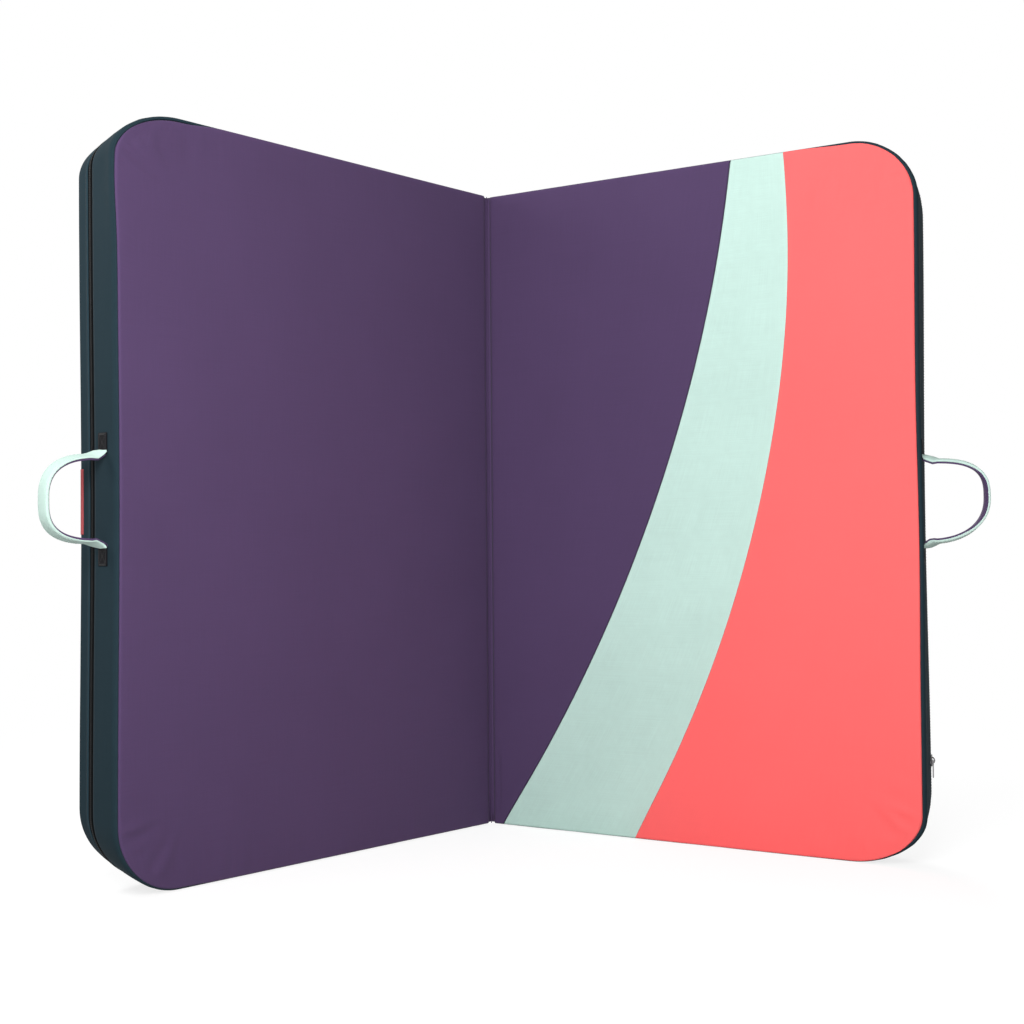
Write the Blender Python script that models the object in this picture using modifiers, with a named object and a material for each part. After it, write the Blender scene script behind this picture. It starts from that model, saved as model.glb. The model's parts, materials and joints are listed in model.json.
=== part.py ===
"""A folding bouldering crash pad, opened like a book and stood on its lower edges.

Two foam-filled halves meet at an upright fold. Each half is a zipped cloth box: a crowned
landing panel, two side bands with a coil zip between them, an inner wall at the fold and a flat
ground panel, round three layers of foam. Web handles stand out of the outer side walls, and the
ground side carries the shoulder harness and the closing straps with their buckles.

Units are metres. Z is up. The origin is on the floor, under the middle of the opened pad.
Inside a half, "reach" runs from the fold to the outer side wall, "level" runs from the landing
face into the pad and out through its ground face, and "height" runs up from the floor.
"""

import math

import bmesh
import bpy
from mathutils import Matrix, Vector

MM = 0.001

# The pad
PAD_HEIGHT = 1000 * MM
HALF_WIDTH = 688 * MM
PAD_THICKNESS = 85 * MM
CORNER_RADIUS = 98 * MM
REST_OPENING = math.radians(100.8)
FOLD_GAP = 1.5 * MM
CROWN = 4 * MM
SIDE_DRAW_IN = 3 * MM
CLEARANCE = 0.3 * MM
CUT_OVERRUN = 1 * MM

# The cover
CLOTH = 1.2 * MM
SHOULDER_DEPTH = 5 * MM
SHOULDER_LEVEL = 10 * MM
END_SHOULDER_DEPTH = 1.5 * MM
END_SHOULDER_LEVEL = 4 * MM
GROUND_SHOULDER = 6 * MM
SEAM_GAP = 0.6 * MM
END_SEAM_GAP = 1.1 * MM
RIGHT_WALL_LEAN = 12.5 * MM
PURPLE_SEAM_SHARES = (0.029, 0.371, 0.556, 0.609)
CORAL_SEAM_SHARES = (0.366, 0.655, 0.772, 0.726)

# The zip in the side wall, its slider and its pull
ZIP_LEVEL = 55.5 * MM
ZIP_OPENING = 11 * MM
ZIP_TAPE_WIDTH = 19 * MM
ZIP_TAPE = 0.8 * MM
COIL_WIDTH = 5 * MM
COIL_RISE = 1 * MM
SLIDER_LENGTH = 16 * MM
SLIDER_WIDTH = 10 * MM
SLIDER_TAIL_WIDTH = 7 * MM
SLIDER_PLATE = 1.6 * MM
SLIDER_FLANGE = 1.1 * MM
SLIDER_BRIDGE_RADIUS = 0.9 * MM
SLIDER_BRIDGE_LENGTH = 9 * MM
PULL_WIDTH = 7 * MM
PULL_LENGTH = 24 * MM
PULL_EYE_LENGTH = 7 * MM
PULL_EYE_WIDTH = 4 * MM
PULL_THICKNESS = 1.3 * MM
RIGHT_SLIDER_HEIGHT = 138 * MM
LEFT_SLIDER_REACH = 70 * MM

# The foam
LANDING_FOAM = 14 * MM
BASE_FOAM = 10 * MM

# The welt in the fold
WELT_RADIUS = 1.2 * MM

# The handles
LEFT_HANDLE_LOWER_SPAN = 55.5 * MM
LEFT_HANDLE_UPPER_SPAN = 59.5 * MM
RIGHT_HANDLE_LOWER_SPAN = 59.5 * MM
RIGHT_HANDLE_UPPER_SPAN = 50.5 * MM
HANDLE_ROUND_POWER = 2.3
HANDLE_SQUARE_POWER = 3
HANDLE_REACH = 80 * MM
HANDLE_LEVEL = 33 * MM
HANDLE_WIDTH = 20 * MM
HANDLE_ROOT_WIDTH = 8 * MM
HANDLE_FLARE = 14 * MM
HANDLE_SLEEVE = 1.6 * MM
HANDLE_LINING = 1.2 * MM
HANDLE_PIVOT_RISE = 4.3 * MM
WEB = 1.4 * MM
ANCHOR_LENGTH = 26 * MM
ANCHOR_TURN = 1.6 * MM

# The coral tab on the ground edge of the left half
TAB_HEIGHT = 88 * MM
TAB_SIDE_LEVEL = 73 * MM
TAB_GROUND_LENGTH = 45 * MM
TAB_CLOTH = 0.8 * MM

# The shoulder harness on the ground side of the left half
HARNESS_REACH_SHARE = 0.49
HARNESS_TOP = 775 * MM
HARNESS_PATCH_WIDTH = 270 * MM
HARNESS_PATCH_HEIGHT = 60 * MM
PATCH_EASE = 3 * MM
STRAP_LENGTH = 400 * MM
STRAP_WIDTH = 62 * MM
STRAP_END_WIDTH = 32 * MM
STRAP_PADDING = 9 * MM
STRAP_TOP_SPREAD = 62 * MM
STRAP_LOW_SPREAD = 120 * MM
STRAP_EDGE_ROUNDING = 3 * MM
HARNESS_WEB_WIDTH = 20 * MM
HARNESS_FOOT = 165 * MM
HARNESS_TAIL = 95 * MM
LADDER_LENGTH = 26 * MM
LADDER_WIDTH = 28 * MM
LADDER_THICKNESS = 3 * MM
LADDER_BAR = 3.2 * MM
LADDER_SLOT = 6.2 * MM

# The closing straps and their buckles
CLOSURE_HEIGHT_SHARES = (0.22, 0.78)
CLOSURE_WEB_WIDTH = 25 * MM
CLOSURE_EDGE_MARGIN = 24 * MM
CLOSURE_SEWN_LENGTH = 90 * MM
CLOSURE_TAIL_LENGTH = 190 * MM
CLOSURE_TURN = 1.7 * MM
BUCKLE_WIDTH = 34 * MM
BUCKLE_BAR = 3.2 * MM
BUCKLE_SLOT = 6.4 * MM
BUCKLE_ROUNDING = 2 * MM
SOCKET_LENGTH = 44 * MM
SOCKET_THICKNESS = 10 * MM
SOCKET_MOUTH_WIDTH = 25 * MM
SOCKET_MOUTH_HEIGHT = 6 * MM
SOCKET_MOUTH_DEPTH = 30 * MM
SOCKET_WINDOW_LENGTH = 12 * MM
SOCKET_WINDOW_SETBACK = 9 * MM
PLUG_BASE_LENGTH = 18 * MM
PLUG_THICKNESS = 4.6 * MM
PLUG_PRONG_LENGTH = 25 * MM
PLUG_PRONG_WIDTH = 3.2 * MM
PLUG_PRONG_SPREAD = 16 * MM
PLUG_BARB = 3.4 * MM
PLUG_BARB_LENGTH = 9 * MM
PLUG_TONGUE_LENGTH = 22 * MM
PLUG_TONGUE_WIDTH = 4.4 * MM

# How finely the curves are cut
CORNER_STEPS = 6
SIDE_STEPS = 6
RUN_STEPS = 3
SHOULDER_STEPS = 3
PANEL_COLUMNS = 8
BAND_COLUMNS = 4
HANDLE_STEPS = 18
TURN_STEPS = 6
STRAP_ROWS = 10

LEFT, RIGHT = -1, 1
HALF_TURN = math.pi
QUARTER_TURN = math.pi / 2
WALL_INSET = CLOTH + ZIP_TAPE + 2 * CLEARANCE
INNER_EDGE = FOLD_GAP + CLOTH + CLEARANCE


def linear(channel):
    """One 8-bit sRGB channel as linear light."""
    share = channel / 255
    return share / 12.92 if share <= 0.04045 else ((share + 0.055) / 1.055) ** 2.4


def finish(name, red, green, blue, roughness, metallic=0.0):
    """A Principled material from an 8-bit colour."""
    made = bpy.data.materials.new(name)
    made.use_nodes = True
    shader = made.node_tree.nodes["Principled BSDF"]
    shader.inputs["Base Color"].default_value = (linear(red), linear(green), linear(blue), 1)
    shader.inputs["Roughness"].default_value = roughness
    shader.inputs["Metallic"].default_value = metallic
    return made


# Placing and making objects


def adopt(made, surface, parent, group):
    """Links an object, paints it and hangs it on its parent's frame."""
    group.objects.link(made)
    if surface:
        made.data.materials.append(surface)
    made.parent = parent
    return made


def mesh_object(name, shape, surface, parent, group):
    """A named object from a finished bmesh, shaded smooth where its faces meet gently."""
    mesh = bpy.data.meshes.new(name)
    shape.to_mesh(mesh)
    shape.free()
    mesh.shade_smooth()
    mesh.set_sharp_from_angle(angle=math.radians(40))
    return adopt(bpy.data.objects.new(name, mesh), surface, parent, group)


def sheet(name, surface, parent, side, columns, rows, place, thickness, outward=False):
    """A sheet of cloth: a grid whose corners place(column, row) puts where they belong.

    Its columns and rows run so that the grid faces out of the pad on the right half. The left
    half is its mirror, so there the faces are turned round.
    """
    shape = bmesh.new()
    bmesh.ops.create_grid(shape, x_segments=columns, y_segments=rows, size=0.5)
    for corner in shape.verts:
        column = round((corner.co.x + 0.5) * columns)
        row = round((corner.co.y + 0.5) * rows)
        corner.co = place(column, row)
    if side == LEFT:
        bmesh.ops.reverse_faces(shape, faces=shape.faces)
    made = mesh_object(name, shape, surface, parent, PARTS)
    cloth = made.modifiers.new("thickness", "SOLIDIFY")
    cloth.thickness = thickness
    cloth.offset = 1 if outward else -1
    cloth.use_even_offset = True
    return made


def slab(name, surface, parent, outline, level, thickness, holes=(), group=None):
    """A flat piece cut to an outline in the half's upright plane, centred on a level."""
    flat = bpy.data.curves.new(name, "CURVE")
    flat.dimensions = "2D"
    flat.fill_mode = "BOTH"
    flat.extrude = thickness / 2
    for loop in (outline, *holes):
        spline = flat.splines.new("POLY")
        spline.points.add(len(loop) - 1)
        for point, (across, up) in zip(spline.points, loop):
            point.co = (across, up, 0, 1)
        spline.use_cyclic_u = True
    made = adopt(bpy.data.objects.new(name, flat), surface, parent, group or PARTS)
    made.rotation_euler.x = QUARTER_TURN
    made.location.y = level
    return made


def block(low, high, rounding=0, steps=2):
    """A bmesh box between two corners, with rounded edges."""
    shape = bmesh.new()
    size = [b - a for a, b in zip(low, high)]
    middle = [(a + b) / 2 for a, b in zip(low, high)]
    placed = Matrix.Translation(middle) @ Matrix.Diagonal((*size, 1))
    bmesh.ops.create_cube(shape, size=1, matrix=placed)
    if rounding:
        bmesh.ops.bevel(shape, geom=shape.edges, offset=rounding, segments=steps, affect="EDGES", profile=0.5)
    return shape


def combine(target, tool, operation):
    """Joins a helper object to a target, or cuts it away, and hides the helper."""
    tool.hide_render = True
    tool.display_type = "WIRE"
    change = target.modifiers.new(tool.name, "BOOLEAN")
    change.operation = operation
    change.object = tool


def solid_curve(made):
    """Turns a curve object into a mesh object with welded caps, so that a Boolean can use it."""
    bpy.context.view_layer.update()
    seen = made.evaluated_get(bpy.context.evaluated_depsgraph_get())
    mesh = bpy.data.meshes.new_from_object(seen)
    shape = bmesh.new()
    shape.from_mesh(mesh)
    bmesh.ops.remove_doubles(shape, verts=shape.verts, dist=0.01 * MM)
    shape.to_mesh(mesh)
    shape.free()
    name, parent, group = made.name, made.parent, made.users_collection[0]
    local = made.matrix_local.copy()
    bpy.data.objects.remove(made)
    solid = adopt(bpy.data.objects.new(name, mesh), None, parent, group)
    solid.matrix_local = local
    return solid


def frame(name, parent, location, rotation=(0, 0, 0)):
    """An empty that carries pieces, with its origin on their joint's axis."""
    empty = bpy.data.objects.new(name, None)
    PARTS.objects.link(empty)
    empty.parent = parent
    empty.location = location
    empty.rotation_euler = rotation
    return empty


def arc(centre, radius, start, end, steps):
    """Points of a circular arc, its first and last included."""
    turns = [start + (end - start) * k / steps for k in range(steps + 1)]
    return [(centre[0] + radius * math.cos(t), centre[1] + radius * math.sin(t)) for t in turns]


# The outline that both halves share


def side_reach(height):
    """How far the outer side wall stands from the fold: it draws in between its corners."""
    straight = PAD_HEIGHT - 2 * CORNER_RADIUS
    along = min(max((height - CORNER_RADIUS) / straight, 0), 1)
    return HALF_WIDTH - SIDE_DRAW_IN * math.sin(HALF_TURN * along) ** 2


def wall_lean(side, level):
    """How far a level of the outer side wall stands in. The right half's wall leans in to the ground."""
    return RIGHT_WALL_LEAN * (level / PAD_THICKNESS) ** 2 if side == RIGHT else 0


def wall_slope(side, level):
    """How fast the outer side wall stands in with the level there."""
    return 2 * RIGHT_WALL_LEAN * level / PAD_THICKNESS**2 if side == RIGHT else 0


def rim():
    """Stations along the three free sides, from the fold at the floor to the fold at the top.

    Each is (reach, height, outward reach, outward height), and the last two are a direction.
    """
    flat_end = HALF_WIDTH - CORNER_RADIUS
    low, high = CORNER_RADIUS, PAD_HEIGHT - CORNER_RADIUS
    shares = [k / RUN_STEPS for k in range(RUN_STEPS)]
    stations = [(INNER_EDGE + (flat_end - INNER_EDGE) * s, 0, 0, -1) for s in shares]
    for k in range(CORNER_STEPS + 1):
        turn = -QUARTER_TURN + QUARTER_TURN * k / CORNER_STEPS
        out, up = math.cos(turn), math.sin(turn)
        stations.append((flat_end + CORNER_RADIUS * out, low + CORNER_RADIUS * up, out, up))
    for k in range(1, SIDE_STEPS):
        height = low + (high - low) * k / SIDE_STEPS
        stations.append((side_reach(height), height, 1, 0))
    for k in range(CORNER_STEPS + 1):
        turn = QUARTER_TURN * k / CORNER_STEPS
        out, up = math.cos(turn), math.sin(turn)
        stations.append((flat_end + CORNER_RADIUS * out, high + CORNER_RADIUS * up, out, up))
    stations += [(flat_end + (INNER_EDGE - flat_end) * (s + 1 / RUN_STEPS), PAD_HEIGHT, 0, 1) for s in shares]
    return stations


def outline(side, inset, inner, level):
    """A closed flat outline at a level, set in from the free sides, that ends at a reach beside the fold."""
    sideways = inset + wall_lean(side, level)
    points = [(reach - out * sideways, height - up * inset) for reach, height, out, up in rim()]
    points[0] = (inner, points[0][1])
    points[-1] = (inner, points[-1][1])
    return [(side * reach, height) for reach, height in points]


def panel_rows(inset):
    """Heights of a landing panel's rows, closer together where its corners turn."""
    radius = CORNER_RADIUS - inset
    rise = [radius * (1 - math.cos(QUARTER_TURN * k / CORNER_STEPS)) for k in range(CORNER_STEPS + 1)]
    low = [inset + r for r in rise]
    high = [PAD_HEIGHT - inset - r for r in reversed(rise)]
    middle = [low[-1] + (high[0] - low[-1]) * k / SIDE_STEPS for k in range(1, SIDE_STEPS)]
    return low + middle + high


def panel_edge(height, inset, end_inset):
    """The reach of a landing panel's outer edge at a height, round its corners."""
    across, rise = CORNER_RADIUS - inset, CORNER_RADIUS - end_inset
    beyond = max(CORNER_RADIUS - height, height - (PAD_HEIGHT - CORNER_RADIUS), 0)
    rounding = across * (1 - math.sqrt(max(1 - (beyond / rise) ** 2, 0)))
    return side_reach(height) - inset - rounding


def crown(reach, height):
    """How far the landing face swells there. It starts gently at the fold, so that the halves close."""
    across = min(max(reach / HALF_WIDTH, 0), 1)
    up = abs(2 * height / PAD_HEIGHT - 1)
    return CROWN * 4 * across * (1 - across) * max(1 - up**4, 0)


def seam_curve(shares, height):
    """The reach of a curved seam at a height: a cubic Bezier in shares of the half's width."""
    t = height / PAD_HEIGHT
    blend = ((1 - t) ** 3, 3 * t * (1 - t) ** 2, 3 * t**2 * (1 - t), t**3)
    return HALF_WIDTH * sum(a * b for a, b in zip(shares, blend))


# The cover and the foam


def landing_panel(name, surface, half, side, start, end, columns):
    """One cloth panel of the landing face, lofted between two edges given as functions of height."""
    inset, end_inset = SHOULDER_DEPTH + SEAM_GAP, END_SHOULDER_DEPTH + END_SEAM_GAP
    heights = panel_rows(end_inset)

    def place(column, row):
        height = heights[row]
        near, far = start(height), min(end(height), panel_edge(height, inset, end_inset))
        reach = near + (far - near) * column / columns
        return side * reach, -crown(reach, height), height

    return sheet(name, surface, half, side, columns, len(heights) - 1, place, CLOTH)


def side_band(name, surface, half, side, profile, thickness=CLOTH):
    """A band round the three free sides.

    At a station that faces outward by a share, profile(share) lists (depth inside the wall, level).
    """
    stations = rim()

    def place(column, row):
        reach, height, out, up = stations[row]
        depth, level = profile(out**2)[column]
        return side * (reach - out * (depth + wall_lean(side, level))), level, height - up * depth

    return sheet(name, surface, half, side, len(profile(1)) - 1, len(stations) - 1, place, thickness)


def shoulder(depth, rise, steps):
    """A rounded edge as (depth, level), from the face over to the side wall."""
    turns = [QUARTER_TURN * k / steps for k in range(steps + 1)]
    return [(depth * (1 - math.sin(t)), rise * (1 - math.cos(t))) for t in turns]


def cover(half, side, word):
    """The cloth box of one half, without its landing face."""
    zip_start, zip_end = ZIP_LEVEL - ZIP_OPENING / 2, ZIP_LEVEL + ZIP_OPENING / 2

    def front(share):
        depth = END_SHOULDER_DEPTH + (SHOULDER_DEPTH - END_SHOULDER_DEPTH) * share
        rise = END_SHOULDER_LEVEL + (SHOULDER_LEVEL - END_SHOULDER_LEVEL) * share
        middle = (rise + zip_start) / 2
        return shoulder(depth, rise, SHOULDER_STEPS) + [(0, middle), (0, zip_start)]

    side_band(f"{word}_front_side_band", TEAL_CLOTH, half, side, front)

    turn = shoulder(GROUND_SHOULDER, GROUND_SHOULDER, SHOULDER_STEPS)
    back = [(0, zip_end)] + [(depth, PAD_THICKNESS - rise) for depth, rise in reversed(turn)]
    side_band(f"{word}_ground_side_band", TEAL_CLOTH, half, side, lambda share: back)

    tape_depth = CLOTH + CLEARANCE
    coil_depth = tape_depth - COIL_RISE
    steps = (-ZIP_TAPE_WIDTH / 2, -COIL_WIDTH / 2, -COIL_WIDTH / 4, COIL_WIDTH / 4, COIL_WIDTH / 2, ZIP_TAPE_WIDTH / 2)
    depths = (tape_depth, tape_depth, coil_depth, coil_depth, tape_depth, tape_depth)
    tape = [(depth, ZIP_LEVEL + step) for depth, step in zip(depths, steps)]
    side_band(f"{word}_coil_zip", ZIP_BLACK, half, side, lambda share: tape, ZIP_TAPE)

    wall_start = CLOTH + CLEARANCE
    wall = mesh_object(
        f"{word}_fold_wall",
        block(
            (min(side * FOLD_GAP, side * (FOLD_GAP + CLOTH)), wall_start, 0),
            (max(side * FOLD_GAP, side * (FOLD_GAP + CLOTH)), PAD_THICKNESS - wall_start, PAD_HEIGHT),
        ),
        TEAL_CLOTH,
        half,
        PARTS,
    )
    ground_inset = GROUND_SHOULDER + SEAM_GAP
    ground = outline(side, ground_inset, FOLD_GAP, PAD_THICKNESS)
    slab(f"{word}_ground_panel", GROUND_CLOTH, half, ground, PAD_THICKNESS - CLOTH / 2, CLOTH)
    return wall


def foam(half, side, word):
    """The three foam layers of one half, from the landing face to the ground."""
    inset = SHOULDER_DEPTH + CLOTH + 2 * CLEARANCE
    end_inset = END_SHOULDER_DEPTH + CLOTH + 2 * CLEARANCE
    heights = panel_rows(end_inset)
    top = CLOTH + CLEARANCE

    def place(column, row):
        height = heights[row]
        reach = INNER_EDGE + (panel_edge(height, inset, end_inset) - INNER_EDGE) * column / BAND_COLUMNS
        return side * reach, top - crown(reach, height), height

    sheet(f"{word}_landing_foam", FIRM_FOAM, half, side, BAND_COLUMNS, len(heights) - 1, place, LANDING_FOAM)

    core_start = top + LANDING_FOAM + CLEARANCE
    base_start = PAD_THICKNESS - CLOTH - CLEARANCE - BASE_FOAM
    core = base_start - CLEARANCE - core_start
    core_outline = outline(side, WALL_INSET, INNER_EDGE, base_start)
    slab(f"{word}_core_foam", SOFT_FOAM, half, core_outline, core_start + core / 2, core)
    base_outline = outline(side, GROUND_SHOULDER + CLOTH + CLEARANCE, INNER_EDGE, PAD_THICKNESS)
    slab(f"{word}_base_foam", FIRM_FOAM, half, base_outline, base_start + BASE_FOAM / 2, BASE_FOAM)


# The zip slider and its pull


def zip_slider(word, parent, location, rotation):
    """A slider on the coil, in its own frame: X out of the wall, Y across the zip, Z along it."""
    seat = frame(f"{word}_slider_frame", parent, location, rotation)
    half_length, half_width, half_tail = SLIDER_LENGTH / 2, SLIDER_WIDTH / 2, SLIDER_TAIL_WIDTH / 2
    shield = [
        (-half_tail, -half_length),
        (half_tail, -half_length),
        (half_width, 0),
        (half_width, half_length - half_tail / 2),
        (half_tail, half_length),
        (-half_tail, half_length),
        (-half_width, half_length - half_tail / 2),
        (-half_width, 0),
    ]
    plate = slab(f"{word}_zip_slider", METAL, seat, shield, 0, SLIDER_PLATE)
    plate.rotation_euler = (QUARTER_TURN, 0, QUARTER_TURN)
    plate_middle = CLEARANCE + SLIDER_PLATE / 2
    plate.location = (plate_middle, 0, 0)
    body = solid_curve(plate)
    body.data.materials.append(METAL)
    body.data.shade_smooth()
    body.data.set_sharp_from_angle(angle=math.radians(40))
    bevel = body.modifiers.new("edges", "BEVEL")
    bevel.width = SLIDER_PLATE / 4
    bevel.segments = 1

    flange_out = SLIDER_TAIL_WIDTH / 2 + SLIDER_FLANGE
    for hand in (LEFT, RIGHT):
        ends = sorted((hand * SLIDER_TAIL_WIDTH / 2, hand * flange_out))
        low = (-CLOTH + CLEARANCE, ends[0], -half_length / 2)
        flange = mesh_object(
            f"{word}_slider_flange_{'a' if hand == LEFT else 'b'}",
            block(low, (plate_middle, ends[1], half_length / 2)),
            None,
            seat,
            HELPERS,
        )
        combine(body, flange, "UNION")

    half_bar = math.hypot(PULL_THICKNESS, PULL_THICKNESS) / 2
    bar_rise = CLEARANCE + SLIDER_PLATE + CLEARANCE + half_bar
    bridge_rise = bar_rise + half_bar + CLEARANCE + SLIDER_BRIDGE_RADIUS - plate_middle
    arch = bpy.data.curves.new(f"{word}_slider_bridge", "CURVE")
    arch.dimensions = "3D"
    arch.bevel_depth = SLIDER_BRIDGE_RADIUS
    arch.bevel_resolution = 1
    arch.use_fill_caps = True
    spline = arch.splines.new("POLY")
    turns = [HALF_TURN * k / TURN_STEPS for k in range(TURN_STEPS + 1)]
    route = [(bridge_rise * math.sin(t), SLIDER_BRIDGE_LENGTH / 2 * math.cos(t)) for t in turns]
    spline.points.add(len(route) - 1)
    for point, (rise, along) in zip(spline.points, route):
        point.co = (plate_middle + rise, 0, along, 1)
    bridge = adopt(bpy.data.objects.new(f"{word}_slider_bridge", arch), None, seat, HELPERS)
    combine(body, solid_curve(bridge), "UNION")

    pull_frame = frame(f"{word}_pull_frame", seat, (bar_rise, 0, 0))
    half_pull, eye, bar = PULL_WIDTH / 2, PULL_EYE_WIDTH / 2, PULL_THICKNESS / 2
    tab = [
        (-half_pull, bar),
        (-half_pull, -PULL_LENGTH + half_pull),
        *arc((0, -PULL_LENGTH + half_pull), half_pull, HALF_TURN, 2 * HALF_TURN, TURN_STEPS)[1:-1],
        (half_pull, -PULL_LENGTH + half_pull),
        (half_pull, bar),
    ]
    hole = [(-eye, -bar), (eye, -bar), (eye, -PULL_EYE_LENGTH), (-eye, -PULL_EYE_LENGTH)]
    pull = slab(f"{word}_zip_pull", METAL, pull_frame, tab, 0, PULL_THICKNESS, [hole])
    pull.rotation_euler = (QUARTER_TURN, 0, QUARTER_TURN)


# The handles


def handle_half_width(reach):
    """Half the handle's width at a distance from its pivot: a rounded root that flares out."""
    root = HANDLE_ROOT_WIDTH / 2
    if reach < 0:
        return math.sqrt(root**2 - min(-reach, root) ** 2)
    full = HANDLE_WIDTH / 2
    return min(full, root + (full - root) * reach / HANDLE_FLARE)


def handle_halves(side):
    """A handle's lower and upper half as (up or down, half span, power of its superellipse).

    It hangs unevenly: the half with the shorter span is the squarer one.
    """
    if side == LEFT:
        return (
            (-1, LEFT_HANDLE_LOWER_SPAN, HANDLE_SQUARE_POWER),
            (1, LEFT_HANDLE_UPPER_SPAN, HANDLE_ROUND_POWER),
        )
    return (
        (-1, RIGHT_HANDLE_LOWER_SPAN, HANDLE_ROUND_POWER),
        (1, RIGHT_HANDLE_UPPER_SPAN, HANDLE_SQUARE_POWER),
    )


def handle_route(side):
    """The handle's line as (reach from the pivot, height from its middle, outward direction)."""
    tip = 0.8 * HANDLE_ROOT_WIDTH / 2
    halves = []
    for up, span, power in handle_halves(side):
        half = [(-tip, up * span, (0, up))]
        for k in range(HANDLE_STEPS // 2):
            turn = HALF_TURN * k / HANDLE_STEPS
            across, along = math.sin(turn) ** (2 / power), math.cos(turn) ** (2 / power)
            away = Vector((across ** (power - 1) / HANDLE_REACH, up * along ** (power - 1) / span))
            half.append((HANDLE_REACH * across, up * span * along, tuple(away.normalized())))
        halves.append(half)
    lower, upper = halves
    return [*lower, (HANDLE_REACH, 0, (1, 0)), *reversed(upper)]


def handle(half, side, word):
    """A webbing handle: a mint sleeve over a purple lining, hung between two black web anchors."""
    middle = PAD_HEIGHT / 2
    lean, slope = wall_lean(side, HANDLE_LEVEL), wall_slope(side, HANDLE_LEVEL)
    wall = side_reach(middle) - lean
    pivot = frame(f"{word}_handle_frame", half, (side * (wall + HANDLE_PIVOT_RISE), HANDLE_LEVEL, middle))
    route = handle_route(side)

    def layer(lift):
        def place(column, row):
            reach, height, away = route[row]
            across = handle_half_width(reach) * (2 * column / 2 - 1)
            return side * (reach + away[0] * lift), across, height + away[1] * lift

        return place

    last = len(route) - 1
    gap = CLEARANCE / 2
    sheet(f"{word}_handle_sleeve", MINT_CLOTH, pivot, side, 2, last, layer(gap), HANDLE_SLEEVE, True)
    sheet(f"{word}_handle_lining", PURPLE_CLOTH, pivot, side, 2, last, layer(-gap), HANDLE_LINING)

    flat = CLEARANCE + WEB / 2
    for (up, span, _), place_word in zip(handle_halves(side), ("lower", "upper")):
        root = span + gap + HANDLE_SLEEVE + CLEARANCE + WEB / 2
        end = root + ANCHOR_TURN + ANCHOR_LENGTH
        bend = arc((flat + ANCHOR_TURN, root + ANCHOR_TURN), ANCHOR_TURN, HALF_TURN, 1.5 * HALF_TURN, TURN_STEPS // 2)
        line = [(flat, end), *bend, (HANDLE_PIVOT_RISE + HANDLE_ROOT_WIDTH / 2, root)]

        def place(column, row, up=up, line=line):
            lift, away = line[row]
            share = row / (len(line) - 1)
            across = HANDLE_WIDTH / 2 + (HANDLE_ROOT_WIDTH - HANDLE_WIDTH) / 2 * share
            across *= 2 * column - 1
            height = middle + up * away
            near_wall = side_reach(height) - lean - slope * across
            return side * (near_wall + lift), HANDLE_LEVEL + across, height

        anchor = sheet(f"{word}_handle_{place_word}_anchor", BLACK_WEB, half, -up * side, 1, len(line) - 1, place, WEB)
        anchor.modifiers["thickness"].offset = 0


# The coral tab, sewn over the left half's ground edge between the handle's ends


def edge_tab(half, side, word):
    """A cloth tab that wraps from the side wall round the shoulder on to the ground face."""
    lift = CLEARANCE
    turns = [QUARTER_TURN * k / SHOULDER_STEPS for k in range(SHOULDER_STEPS + 1)]
    radius = GROUND_SHOULDER + lift
    wrap = [(GROUND_SHOULDER - radius * math.cos(t), PAD_THICKNESS - GROUND_SHOULDER + radius * math.sin(t)) for t in turns]
    profile = [(-lift, TAB_SIDE_LEVEL), *wrap, (TAB_GROUND_LENGTH, PAD_THICKNESS + lift)]
    low = (PAD_HEIGHT - TAB_HEIGHT) / 2

    def place(column, row):
        depth, level = profile[column]
        height = low + TAB_HEIGHT * row / 2
        return side * (side_reach(height) - depth), level, height

    sheet(f"{word}_edge_tab", CORAL_CLOTH, half, side, len(profile) - 1, 2, place, TAB_CLOTH, True)


# The webbing and the buckles


def ribbon(name, surface, parent, route, width, along_height):
    """A webbing strip along points of the half's frame, its width up the pad or across it."""
    direction = Vector((0, 0, 1)) if along_height else Vector((1, 0, 0))

    def place(column, row):
        return Vector(route[row]) + direction * width * (column - 0.5)

    made = sheet(name, surface, parent, RIGHT, 1, len(route) - 1, place, WEB)
    made.modifiers["thickness"].offset = 0
    return made


def ground_lift(thickness):
    """The level of the middle of a piece that lies on the ground panel."""
    return PAD_THICKNESS + CLEARANCE + thickness / 2


def wrap_radius(bar, thickness):
    """The middle of a web's turn round a flat bar, clear of the bar's corners."""
    return math.hypot(bar, thickness) / 2 + CLEARANCE + WEB / 2


def plug_outline():
    """The plug half of a side-release buckle: its base, two barbed prongs and the middle tongue."""
    half_width, spread, prong = BUCKLE_WIDTH / 2, PLUG_PRONG_SPREAD / 2, PLUG_PRONG_WIDTH
    tip = PLUG_BASE_LENGTH + PLUG_PRONG_LENGTH
    tongue = PLUG_TONGUE_WIDTH / 2
    chamfer = BUCKLE_ROUNDING
    upper = [
        (0, half_width - chamfer),
        (chamfer, half_width),
        (PLUG_BASE_LENGTH - chamfer, half_width),
        (PLUG_BASE_LENGTH, half_width - chamfer),
        (PLUG_BASE_LENGTH, spread + prong),
        (tip - PLUG_BARB_LENGTH, spread + prong),
        (tip - PLUG_BARB_LENGTH, spread + prong + PLUG_BARB),
        (tip - PLUG_BARB_LENGTH / 2, spread + prong + PLUG_BARB),
        (tip, spread + prong / 2),
        (tip, spread - prong / 2),
        (tip - PLUG_BARB_LENGTH, spread),
        (PLUG_BASE_LENGTH, spread),
        (PLUG_BASE_LENGTH, tongue),
        (PLUG_BASE_LENGTH + PLUG_TONGUE_LENGTH - tongue, tongue),
        (PLUG_BASE_LENGTH + PLUG_TONGUE_LENGTH, tongue / 2),
    ]
    return upper + [(x, -z) for x, z in reversed(upper)]


def slot_outline(start, length, width):
    """A rectangular slot across a buckle, as an outline."""
    return [(start, -width / 2), (start + length, -width / 2), (start + length, width / 2), (start, width / 2)]


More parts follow.
